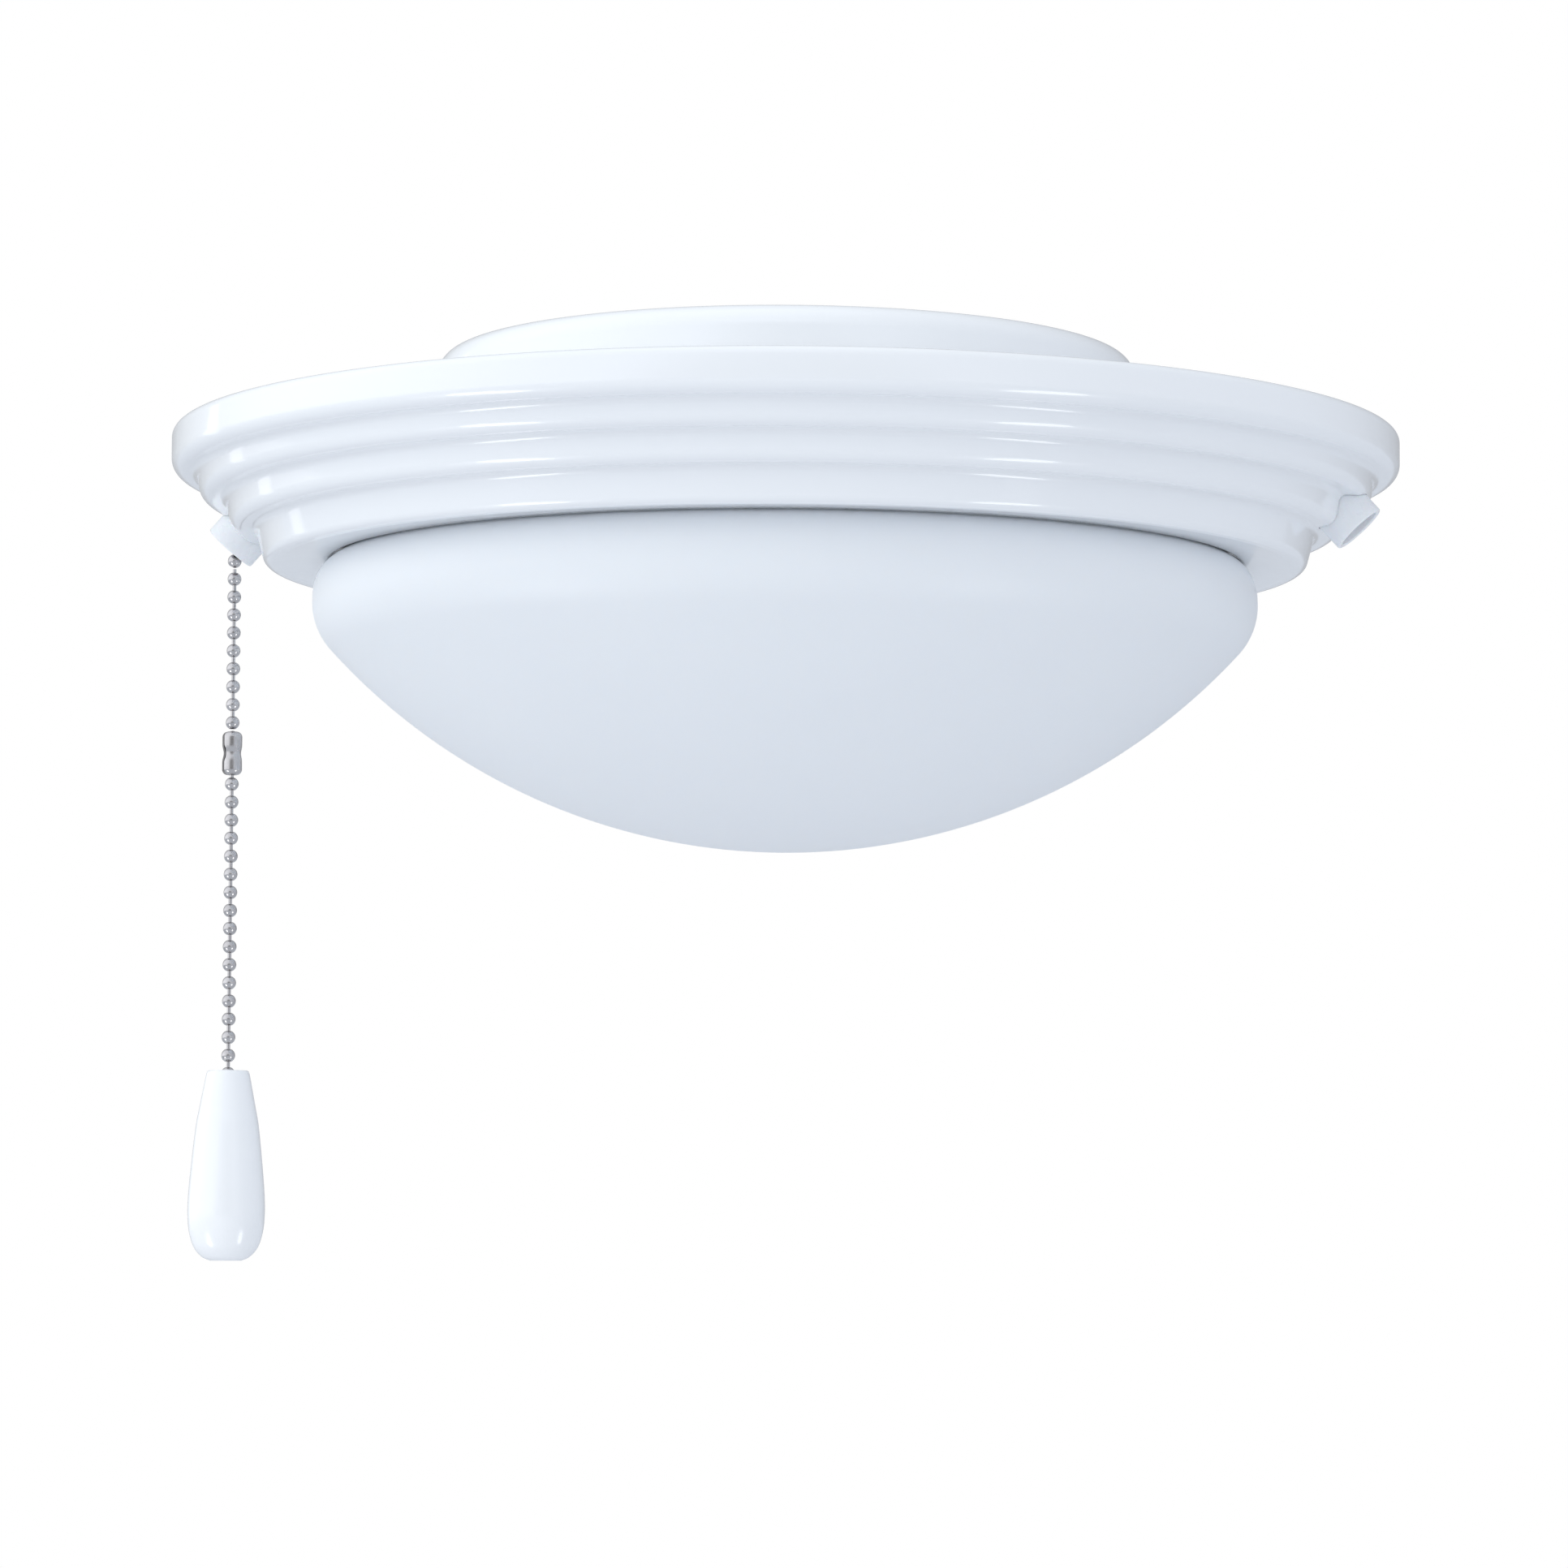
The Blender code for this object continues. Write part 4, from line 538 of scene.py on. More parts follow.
def capped(rings):
    """A skin over rings of points that close on themselves, with a flat face at either end."""
    count, sides = rings.shape[:2]
    first, last = list(range(sides)), list(range((count - 1) * sides, count * sides))
    return rings.reshape(-1, 3), grid_faces(count, sides, round_rows=False) + [first[::-1], last]


def coupling_surface(top, low):
    """The folded sleeve. Its outline (r, h) goes once round the wall's section; the sheet is carried
    round the axis from slot edge to slot edge, so that point i of ring j is at the angle
    s(h) + (turn - 2 s(h)) j / n, where the half slot s grows towards the two open lips."""
    inner, fold = COUPLING_RADIUS - COUPLING_WALL, COUPLING_CROWN - COUPLING_WALL
    line = filleted([
        (COUPLING_HOLE, top - COUPLING_WALL, 0), (COUPLING_HOLE, top, 0),
        (COUPLING_RADIUS, top, COUPLING_CROWN), (COUPLING_RADIUS, low, COUPLING_CROWN),
        (COUPLING_HOLE, low, 0), (COUPLING_HOLE, low + COUPLING_WALL, 0),
        (inner, low + COUPLING_WALL, fold), (inner, top - COUPLING_WALL, fold),
        (COUPLING_HOLE + 0.00005, top - COUPLING_WALL, 0)], chord=0.00015, longest=0.0004)
    share = (line[:, 1] - (top + low) / 2) / (COUPLING_LENGTH / 2)
    waist = COUPLING_WAIST * np.exp(-(share / WAIST_SHARE) ** 2) * (line[:, 0] > COUPLING_HOLE * 2)
    half = (SLOT_HALF + SLOT_LIPS * np.exp(-(share / LIPS_SHARE) ** 4)) / COUPLING_RADIUS
    angle = math.pi + half + (TURN - half * 2) * np.linspace(0, 1, 45)[:, None]
    return capped(polar(line[:, 0] - waist, angle, line[:, 1]))


first_bead = at(*(outlet_frame(LEFT) @ Vector((HANG_DROP, 0, HANG_OUT))))
last_upper = at(0, 0, -BEAD_PITCH * UPPER_BEADS) @ first_bead
coupling_top = -BEAD_PITCH / 2
coupling_low = coupling_top - COUPLING_LENGTH
lower_levels = [coupling_low + BEAD_PITCH / 2 - BEAD_PITCH * index for index in range(LOWER_BEADS + 3)]
tail_sizes = np.ones((TAIL_BEADS + 1, 1))
tail_sizes[-1] = ANCHOR_RADIUS / BEAD_RADIUS
for made, node, body, place, line in (
        ("switch_chain_tail", "chain_tail", "chain_tail_body",
         first_bead @ turned(math.pi) @ turned(math.pi / 2 + TAIL_TILT, "Y"),
         strand_line([-BEAD_PITCH * index for index in range(TAIL_BEADS + 1)], sizes=tail_sizes)),
        ("upper_chain", "chain_upper", "upper_strand", first_bead,
         strand_line([-BEAD_PITCH * (index + 1) for index in range(UPPER_BEADS)], -BEAD_RADIUS - GAP)),
        ("coupled_bead", "chain_link_end", "lower_strand", last_upper,
         strand_line([-BEAD_PITCH], -BEAD_RADIUS - GAP)),
        ("lower_chain", "chain_lower", "lower_strand", last_upper, strand_line(lower_levels))):
    piece(made, placed(revolved(line, 32, seamed), place), nickel, node, body=body, sharp=50)
sleeve = coupling_surface(coupling_top, coupling_low)
piece("coupling_sleeve", placed(sleeve, last_upper @ turned(COUPLING_TURN)), nickel, "chain_coupling",
      body="lower_strand", sharp=40)


# Pull knob
# A glossy white moulded drop on the chain's last beads: a dished top round the sunk bead, a
# slender neck that swells to its fullest at three quarters, and a small flat at the bottom.

KNOB_LENGTH, KNOB_RADIUS, KNOB_SINK = 0.0438, 0.0089, 0.0007
KNOB_HOLE, KNOB_NECK, KNOB_CHAMBER, KNOB_CHAMBER_LENGTH = 0.0014, 0.0008, 0.0021, 0.0060
KNOB_OUTLINE_SHARES = np.array([
    (0.000, 0.500), (0.014, 0.555), (0.100, 0.640), (0.196, 0.730), (0.300, 0.820), (0.510, 0.930),
    (0.660, 0.990), (0.760, 1.000), (0.850, 0.955), (0.930, 0.830), (0.980, 0.620), (1.000, 0.410)])

gloss_moulding = "white_plastic", finish(
    "gloss_white_moulding", (0.93, 0.945, 0.965), 0.14, ((0.925, 0.94, 0.96), (0.94, 0.955, 0.975), 40, 2),
    (0.11, 0.17, 150, 3), [(0.000006, 300, 2)], Specular_IOR_Level=0.6, Coat_Weight=0.3, Coat_Roughness=0.05)


def smooth_line(points, count):
    """A Catmull-Rom curve through the points: each span is the cubic through its two ends whose
    slopes there are half the step between the neighbours."""
    ends = np.vstack([points[0] * 2 - points[1], points, points[-1] * 2 - points[-2]])
    t = np.linspace(0, 1, count, endpoint=False)[None, :, None]
    a, b, c, d = (ends[k:len(ends) - 3 + k, None] for k in range(4))
    curve = (b * 2 + (c - a) * t + (a * 2 - b * 5 + c * 4 - d) * t ** 2
             + (b * 3 - a - c * 3 + d) * t ** 3) / 2
    return np.vstack([curve.reshape(-1, points.shape[1]), points[-1:]])


drop = smooth_line(KNOB_OUTLINE_SHARES, 8) * (-KNOB_LENGTH, KNOB_RADIUS)
socket = BEAD_RADIUS + GAP
chamber_top = -KNOB_SINK - BEAD_PITCH + socket
chamber_low = chamber_top - KNOB_CHAMBER_LENGTH
cup = arc((0, -KNOB_SINK), (socket, socket), -math.acos(KNOB_NECK / socket), 0, 10)
bore = np.vstack([[(KNOB_HOLE, -KNOB_LENGTH), (KNOB_HOLE, chamber_low), (KNOB_CHAMBER, chamber_low),
                   (KNOB_CHAMBER, chamber_top), (KNOB_NECK, chamber_top)], cup, [(socket, 0)]])
piece("drop_knob", placed(revolved(np.vstack([drop[:, ::-1], bore]), 96),
      last_upper @ at(0, 0, lower_levels[-2] + KNOB_SINK)), gloss_moulding, "pull_knob", body="knob")


# Brackets and bayonet tabs
# Zinc-plated strip. Two brackets carry the switch and the guide behind the ferrules, riveted to
# the well; three tabs with turned-in shelves and stops hold the glass, riveted inside the well.

BRACKET_WIDTH, BRACKET_UPPER, BRACKET_LOWER, BRACKET_TAB = 0.0160, 0.0076, 0.0080, 0.0110
BRACKET_HOLE, BRACKET_BEND = 0.0048, 0.0006
RIVET_SHANK, RIVET_HEAD, RIVET_HEAD_HEIGHT = 0.0010, 0.0018, 0.0006
TAB_SHEET, TAB_REACH, TAB_LEAF, TAB_HALF_ANGLE = 0.0010, 0.0018, 0.0043, math.radians(9)
STOP_THICKNESS, STOP_HEIGHT = 0.0008, 0.0024
STOP_EDGE, STOP_TAIL = 0.00001, 0.003   # radians: the ear's upright face, and the shelf behind it
WELL_FACE = WELL_RADIUS * math.cos(math.pi / 36)    # where flat-backed fittings sit on the wall

aluminium = "aluminium", finish(
    "aluminium", (0.80, 0.81, 0.82), 0.3, ((0.74, 0.75, 0.76), (0.84, 0.85, 0.86), 250, 4),
    (0.22, 0.42, 800, 4), [(0.000008, 1500, 3)], Metallic=1.0)


def softened(outline, fillet, plain=()):
    """A closed outline with every corner rounded by a small fillet, but for the plain ones."""
    start = (*((np.array(outline[-1]) + outline[0]) / 2), 0)
    corners = [(*corner, 0 if index in plain else fillet) for index, corner in enumerate(outline)]
    return filleted([start, *corners, start], chord=fillet / 2)[:-1]


def bent_strip(line, thickness, bend):
    """The closed outline of a strip bent along a line, with an inner radius at each bend."""
    middle = filleted([(*point, bend + thickness / 2) for point in line], longest=0.002)
    return np.vstack([aside(middle, thickness / 2), aside(middle, -thickness / 2)[::-1]])


def pressed(outline, width, edge=0.00012):
    """An outline in XZ extruded along Y with its two faces' edges broken: the outline is drawn at
    five stations y, set in towards its own inside by the edge at the outer two."""
    closed = np.vstack([outline[-1], outline, outline[0]])
    ahead = closed[2:] - closed[:-2]
    side = np.column_stack([ahead[:, 1], -ahead[:, 0]])
    side /= np.linalg.norm(side, axis=1)[:, None] + 1e-12
    x, z = outline.T
    inward = -side * np.sign(np.sum(x * np.roll(z, -1) - np.roll(x, -1) * z)) * edge
    stations = [(-width / 2, 1), (-width / 2 + edge, 0), (0, 0), (width / 2 - edge, 0), (width / 2, 1)]
    return capped(np.stack([np.insert(outline + inward * share, 1, y, axis=1) for y, share in stations]))


def tab_surface(start, stop, end):
    """A tab: a closed outline (r, h) carried round Z and capped at both ends. Just past the angle
    stop, the shelf's inner points are raised by the stop's height, and from there they fall back:
    the tab's ear, which stands up straight before the lug and slopes behind."""
    foot = end - STOP_TAIL
    angle = np.array([*np.linspace(start, stop, 24), stop + STOP_EDGE, foot, foot + STOP_EDGE, end])[:, None]
    radius, height = tab_outline.T
    inner = (radius < back - TAB_SHEET * 0.55) & (height > shelf_low + TAB_SHEET / 2)
    return capped(polar(radius, angle, height + (angle == stop + STOP_EDGE) * inner * STOP_HEIGHT))


def rivet_surface(grip, place):
    """A rivet: a domed head inside the well, its shank, and the formed tail behind the grip."""
    head, tail = GAP, -grip - GAP
    dome = arc((0, head), (RIVET_HEAD, RIVET_HEAD_HEIGHT), math.pi / 2, 0, 12)
    formed = arc((0, tail), (RIVET_HEAD, -RIVET_HEAD_HEIGHT), 0, math.pi / 2, 12)
    dome[0, 0] = formed[-1, 0] = 0
    line = np.vstack([dome, [(RIVET_SHANK, head), (RIVET_SHANK, tail)], formed])
    return placed(revolved(line, 32), place)


def well_spot(angle, height, radius=WELL_RADIUS):
    """A place on the well's wall whose +Z points at the axis."""
    return turned(angle) @ at(radius, 0, height) @ turned(-math.pi / 2, "Y")


plate = -(SEAT_DEPTH + BRACKET_SHEET / 2)
upper, lower = (outlet_frame(RIGHT) @ Vector((reach, 0, plate)) for reach in (-BRACKET_UPPER, BRACKET_LOWER))
tab_x = WELL_RADIUS + SHEET + GAP * 2 + BRACKET_SHEET / 2
bracket_line = [(upper.x, upper.z), (lower.x, lower.z), (tab_x, lower.z), (tab_x, lower.z + BRACKET_TAB)]
rivet_z = lower.z + BRACKET_TAB - BRACKET_TAB / 3
grip = WELL_RADIUS - WELL_FACE + SHEET + GAP * 2 + BRACKET_SHEET
for made, node, side in (("switch_seat_bracket", "switch_bracket", LEFT),
                         ("guide_seat_bracket", "guide_bracket", RIGHT)):
    strip = pressed(bent_strip(bracket_line, BRACKET_SHEET, BRACKET_BEND), BRACKET_WIDTH)
    piece(made, placed(strip, turned(side)), zinc, node, [
        (BRACKET_HOLE + GAP, BRACKET_SHEET * 3, outlet_frame(side) @ at(0, 0, plate)),
        (RIVET_SHANK + GAP, BRACKET_SHEET * 5, well_spot(side, rivet_z))])
for number, side in ((1, RIGHT), (2, LEFT)):
    piece("bracket_blind_rivet_%d" % number, rivet_surface(grip, well_spot(side, rivet_z, WELL_FACE)),
          aluminium, "bracket_rivet_%d" % number)

back = WELL_FACE - GAP
shelf_top = LUG_FOOT - GAP
shelf_low = shelf_top - TAB_SHEET
leaf_low = shelf_low - TAB_LEAF
tab_rivet_z = shelf_low - TAB_LEAF / 2
stop_turn = LUG_HALF_ANGLE + GAP / WELL_RADIUS
tab_outline = softened([
    (back - TAB_REACH, shelf_low), (back - TAB_REACH, shelf_top), (back - TAB_SHEET * 0.57, shelf_top),
    (back - TAB_SHEET * 0.53, shelf_top), (back, shelf_top), (back, leaf_low),
    (back - TAB_SHEET, leaf_low), (back - TAB_SHEET, shelf_low)], 0.0002, (2, 3))
for number in range(1, TAB_COUNT + 1):
    angle = TAB_START + TURN * (number - 1) / TAB_COUNT
    stop = angle + stop_turn
    piece("bayonet_tab_%d" % number,
          tab_surface(angle - TAB_HALF_ANGLE, stop, stop + STOP_THICKNESS / WELL_RADIUS), zinc,
          "glass_tab_%d" % number, [(RIVET_SHANK + GAP, TAB_SHEET * 4, well_spot(angle, tab_rivet_z))])
    piece("bayonet_rivet_%d" % number, rivet_surface(
        WELL_RADIUS + SHEET - back + TAB_SHEET, well_spot(angle, tab_rivet_z, back - TAB_SHEET)),
        aluminium, "tab_rivet_%d" % number)


# Pull switch
# The light's canopy switch: a black phenolic case with rounded edges, its two halves riveted, and
# a threaded bush through the bracket with the chain's bore in it.

SWITCH_WIDTH, SWITCH_HEIGHT, SWITCH_LENGTH, SWITCH_WALL = 0.0180, 0.0124, 0.0156, 0.0030
BUSH_RADIUS, BUSH_BORE, BUSH_LENGTH, BUSH_FOOT = 0.0048, 0.0039, 0.0050, 0.0012
BUSH_PITCH, BUSH_THREAD, BUSH_END = 0.0008, 0.0003, 0.0004
CASE_POWER, CASE_SEAM, CASE_SEAM_WIDTH = 7.0, 0.00022, 0.00035
CASE_DRILL = 0.024

phenolic = "phenolic", finish(
    "black_phenolic", (0.035, 0.035, 0.037), 0.42, ((0.026, 0.026, 0.028), (0.048, 0.046, 0.046), 180, 5),
    (0.34, 0.56, 500, 4), [(0.00002, 900, 4)], Specular_IOR_Level=0.45)


def case_surface(size):
    """The case: a superellipse box |x/a|^p + |y/b|^p + |z/c|^p = 1 on a grid of two angles, with
    the groove between its two halves where z is nearly zero."""
    u, v = np.linspace(-math.pi / 2, math.pi / 2, 41)[:, None], np.arange(96) * TURN / 96
    way = polar(np.cos(u), v, np.sin(u))
    reach = np.sum(np.abs(way) ** CASE_POWER, -1) ** (-1 / CASE_POWER)
    points = way * reach[..., None] * (np.array(size) / 2)
    points[..., :2] *= 1 - CASE_SEAM / (min(size) / 2) * np.exp(-(points[..., 2:] / CASE_SEAM_WIDTH) ** 2)
    return points.reshape(-1, 3), grid_faces(41, 96, round_rows=False)


bush_top = -SEAT_BACK + BUSH_LENGTH + BRACKET_SHEET + GAP * 2
bore_end = -SEAT_BACK - SWITCH_LENGTH + SWITCH_WALL
bush_line = filleted([
    (BUSH_BORE, -SEAT_BACK - BUSH_FOOT, 0), (BUSH_BORE, bush_top, 0.0002), (BUSH_RADIUS, bush_top, 0.0003),
    (BUSH_RADIUS, -SEAT_BACK - BUSH_FOOT, 0)], longest=BUSH_PITCH / 6)
outlet = outlet_frame(LEFT)
piece("switch_case", placed(case_surface((SWITCH_HEIGHT, SWITCH_WIDTH, SWITCH_LENGTH)),
                            outlet @ at(0, 0, -SEAT_BACK - SWITCH_LENGTH / 2)),
      phenolic, "pull_switch", [(BUSH_BORE, CASE_DRILL, outlet @ at(0, 0, bore_end + CASE_DRILL / 2))])
piece("switch_bush", placed(revolved(bush_line, 96, threaded(
    BUSH_RADIUS, BUSH_THREAD, BUSH_PITCH, -SEAT_BACK, bush_top - BUSH_END)), outlet), nickel, "pull_switch")


# Lampholders
# Two E26 holders face opposite ways under the deck: glazed porcelain bodies on bent straps, with
# rolled brass screw shells, spring contacts, stud nuts and the deck screws that hold the straps.

HOLDER_BACK, HOLDER_OFFSET, HOLDER_Z = WELL_RADIUS - 0.0211, 0.0270, DECK_Z - 0.0335
HOLDER_LENGTH, HOLDER_RADIUS, HOLDER_CAP_RADIUS, HOLDER_CAP_LENGTH = 0.0360, 0.0165, 0.0130, 0.0090
HOLDER_SHOULDER, HOLDER_WALL, HOLDER_FLOOR = 0.0030, 0.0019, 0.0130
STUD_RADIUS, STUD_LENGTH, STUD_FLATS, STUD_HEIGHT = 0.0046, 0.0048, 0.0130, 0.0028
SHELL_RADIUS, SHELL_WALL, SHELL_LENGTH, EDISON_PITCH = 0.0143, 0.0005, 0.0212, 0.00363
CONTACT_WIDTH, CONTACT_SHEET, CONTACT_FOOT, CONTACT_RISE = 0.0050, 0.0004, 0.0050, 0.0016
STRAP_SHEET, STRAP_WIDTH, STRAP_FOOT, STRAP_TAIL, STRAP_DRILL = 0.0012, 0.0150, 0.0170, 0.0090, 0.0040
SCREW_SHANK, SCREW_LENGTH, SCREW_POINT = 0.0018, 0.0065, 0.0006
SCREW_PITCH, SCREW_THREAD, SCREW_NECK = 0.0007, 0.0003, 0.0004
SCREW_HEAD, SCREW_HEAD_HEIGHT, SCREW_HEAD_ROUND = 0.0035, 0.0020, 0.0012
RECESS_HALF, RECESS_REACH, RECESS_DEPTH = 0.00045, 0.0017, 0.0009
RECESS_SIDE_STEEPNESS, RECESS_END_STEEPNESS = 20000, 12000      # per metre
GROUND_PLACE = 0.0600

porcelain = "porcelain", finish(
    "glazed_porcelain", (0.87, 0.86, 0.83), 0.16, ((0.84, 0.83, 0.79), (0.89, 0.88, 0.855), 45, 3),
    (0.10, 0.24, 200, 4), [(0.00004, 140, 3)], Coat_Weight=0.5, Coat_Roughness=0.06,
    Subsurface_Weight=0.05, Subsurface_Scale=0.002)
brass = "brass", finish("brass", (0.78, 0.60, 0.30), 0.28, ((0.70, 0.51, 0.23), (0.84, 0.66, 0.36), 160, 5),
                        (0.2, 0.42, 500, 4), [(0.00001, 1200, 3)], Metallic=1.0)
green = "green_screw", finish(
    "green_ground_screw", (0.08, 0.35, 0.14), 0.33, ((0.05, 0.27, 0.10), (0.12, 0.42, 0.18), 300, 4),
    (0.25, 0.45, 700, 3), [(0.00001, 1200, 3)], Metallic=0.75)


def holder_frame(index):
    """A lampholder's back, +Z towards its lamp; the second is the first turned half round."""
    return (turned(math.pi * index) @ at(HOLDER_BACK - GAP, HOLDER_OFFSET, HOLDER_Z)
            @ turned(-math.pi / 2, "Y"))


def rolled(depth, pitch, low, high):
    """An Edison thread rolled in sheet: both sides of the sheet move in together by
    depth (1 - cos(turn (height / pitch - angle / turn))) / 2, fading out at the ends."""
    def shape(angle, radius, height):
        wave = (1 - np.cos(TURN * (height / pitch - angle / TURN))) / 2
        return radius - depth * wave * faded(height, low, high, pitch / 2), height
    return shape


def screw_surface(place):
    """A pan-head screw: a domed head with a crossed recess, and a threaded shank. The recess sinks
    the head's top where the distance from either of two lines through its centre is small."""
    flat, side = SCREW_HEAD - SCREW_HEAD_ROUND, SCREW_HEAD_HEIGHT - SCREW_HEAD_ROUND
    head = arc((flat, side), (SCREW_HEAD_ROUND, SCREW_HEAD_ROUND), math.pi / 2, 0, 8)
    middle = np.column_stack([np.linspace(0, flat, 16), np.full(16, SCREW_HEAD_HEIGHT)])
    line = filleted([(SCREW_HEAD, side, 0), (SCREW_HEAD, 0, 0.0002), (SCREW_SHANK, 0, 0),
                     (SCREW_SHANK, -SCREW_LENGTH + SCREW_POINT, 0), (SCREW_SHANK * 0.55, -SCREW_LENGTH, 0),
                     (0, -SCREW_LENGTH, 0)], chord=0.0001, longest=0.00012)
    thread = threaded(SCREW_SHANK, SCREW_THREAD, SCREW_PITCH, -SCREW_LENGTH + SCREW_POINT, -SCREW_NECK)

    def shape(angle, radius, height):
        radius, height = thread(angle, radius, height)
        x, y = np.abs(radius * np.cos(angle)), np.abs(radius * np.sin(angle))
        arm = (under(np.minimum(x, y), RECESS_HALF, RECESS_SIDE_STEEPNESS)
               * under(np.maximum(x, y), RECESS_REACH, RECESS_END_STEEPNESS))
        return radius, height - arm * RECESS_DEPTH * (height > SCREW_HEAD_HEIGHT * 0.95)
    return placed(revolved(np.vstack([middle, head[1:], line[1:]]), 96, shape), place)


holder_inside = HOLDER_RADIUS - HOLDER_WALL
holder_line = filleted([
    (0, -STUD_LENGTH, 0), (STUD_RADIUS, -STUD_LENGTH, 0.0004), (STUD_RADIUS, 0, 0.0002),
    (HOLDER_CAP_RADIUS, 0, 0.0012), (HOLDER_CAP_RADIUS, HOLDER_CAP_LENGTH, 0.0015),
    (HOLDER_RADIUS, HOLDER_CAP_LENGTH + HOLDER_SHOULDER, 0.0015), (HOLDER_RADIUS, HOLDER_LENGTH, 0.0007),
    (holder_inside, HOLDER_LENGTH, 0.0007), (holder_inside, HOLDER_FLOOR, 0), (0, HOLDER_FLOOR, 0)],
    longest=0.0025)
shell_low = HOLDER_FLOOR + GAP * 3
shell_high = shell_low + SHELL_LENGTH
shell_line = filleted([
    (SHELL_RADIUS - SHELL_WALL, shell_low, 0), (SHELL_RADIUS - SHELL_WALL, shell_high, 0.00015),
    (SHELL_RADIUS, shell_high, 0.00015), (SHELL_RADIUS, shell_low, 0)], longest=EDISON_PITCH / 14)
contact_low = HOLDER_FLOOR + GAP + CONTACT_SHEET / 2
contact_high = contact_low + CONTACT_RISE
contact_line = [(-CONTACT_FOOT, contact_low), (0, contact_low), (CONTACT_FOOT / 2, contact_high),
                (-CONTACT_FOOT / 2, contact_high)]
strap_x, strap_z = HOLDER_BACK + STRAP_SHEET / 2, DECK_Z - GAP - STRAP_SHEET / 2
strap_line = [(HOLDER_BACK - STRAP_FOOT, strap_z), (strap_x, strap_z), (strap_x, HOLDER_Z - STRAP_TAIL)]
nut_low = -GAP * 2 - STRAP_SHEET - STUD_HEIGHT
for index, letter in enumerate("ab"):
    place, half_round = holder_frame(index), turned(math.pi * index)
    screw_place = half_round @ at(HOLDER_BACK - STRAP_FOOT / 2, HOLDER_OFFSET,
                                  DECK_Z - GAP * 2 - STRAP_SHEET) @ turned(math.pi, "X")
    piece("porcelain_holder_" + letter, placed(revolved(holder_line, 120), place), porcelain,
          "lampholder_" + letter)
    piece("rolled_shell_" + letter, placed(revolved(shell_line, 96, rolled(
        SHELL_WALL / 2, EDISON_PITCH, shell_low, shell_high)), place), brass, "screw_shell_" + letter)
    piece("spring_contact_" + letter, placed(pressed(bent_strip(contact_line, CONTACT_SHEET, 0.0002),
          CONTACT_WIDTH, 0.00006), place), brass, "centre_contact_" + letter)
    piece("holder_strap_" + letter, placed(pressed(bent_strip(strap_line, STRAP_SHEET, 0.0006), STRAP_WIDTH),
          half_round @ at(0, HOLDER_OFFSET, 0)), zinc, "lampholder_strap_" + letter,
          [(STUD_RADIUS + GAP, STRAP_DRILL, place @ at(0, 0, -GAP - STRAP_SHEET / 2)),
           (SCREW_SHANK + GAP, STRAP_DRILL, screw_place)])
    piece("stud_nut_" + letter, placed(nut_surface(STUD_FLATS, STUD_RADIUS + GAP, nut_low,
          nut_low + STUD_HEIGHT), place), zinc, "lampholder_nut_" + letter)
    piece("strap_deck_screw_%d" % (index + 1), screw_surface(screw_place), zinc,
          "strap_screw_%d" % (index + 1))
piece("green_screw_head", screw_surface(at(0, GROUND_PLACE, DECK_TOP + GAP)), green, "ground_screw")


# Lamps
# Two 48 mm globe lamps, white inside, each in a rolled aluminium screw cap with a soldered tip.

BULB_RADIUS, BULB_LENGTH, BULB_WALL = 0.0240, 0.0890, 0.0010
BULB_NECK_RADIUS, BULB_NECK_LENGTH, BULB_SEAT = 0.0120, 0.0120, 0.0032
CAP_RADIUS, CAP_WALL, CAP_LENGTH, CAP_SHOULDER = 0.0129, 0.0006, 0.0228, 0.0055
CAP_TIP, CAP_TIP_HEIGHT, CAP_THREAD, CAP_BAND = 0.0045, 0.0014, 0.00022, 0.002
BULB_FOOT = HOLDER_FLOOR + BULB_SEAT
BULB_TOP = BULB_FOOT + BULB_LENGTH
CAP_LOW, CAP_MOUTH = BULB_FOOT + CAP_SHOULDER, BULB_FOOT + CAP_TIP_HEIGHT + CAP_LENGTH

bulb_white = "bulb_white", finish(
    "lamp_white", (0.92, 0.92, 0.90), 0.22, ((0.905, 0.905, 0.885), (0.925, 0.925, 0.91), 30, 2),
    (0.19, 0.24, 90, 3), [(0.000003, 400, 2)], Subsurface_Weight=0.15, Subsurface_Scale=0.002,
    Coat_Weight=0.4, Coat_Roughness=0.05)


def globe_wall(inset, count):
    """The lamp's wall from its root in the cap: a straight neck, a flare and the globe, where the
    flare is the cubic with the neck's slope at its foot and the globe's slope at its top."""
    neck_side = CAP_RADIUS - CAP_WALL - GAP
    joint = (math.asin(BULB_NECK_RADIUS / BULB_RADIUS) - math.pi / 2) / 2
    centre = np.array([0, BULB_TOP - BULB_RADIUS])
    start = np.array([neck_side, CAP_MOUTH])
    end = centre + np.array([math.cos(joint), math.sin(joint)]) * BULB_RADIUS
    reach = np.linalg.norm(end - start)
    leave, arrive = np.array([-0.15, 1.0]) * reach, np.array([-math.sin(joint), math.cos(joint)]) * reach
    t = np.linspace(0, 1, count)[:, None]
    flare = (start * (1 - 3 * t ** 2 + 2 * t ** 3) + end * (3 * t ** 2 - 2 * t ** 3)
             + leave * (t - 2 * t ** 2 + t ** 3) + arrive * (t ** 3 - t ** 2))
    globe = arc(centre, (BULB_RADIUS - inset,) * 2, joint, math.pi / 2, count * 2)
    globe[-1, 0] = 0
    return np.vstack([[(neck_side - inset, CAP_MOUTH - BULB_NECK_LENGTH)], aside(flare, -inset), globe[1:]])


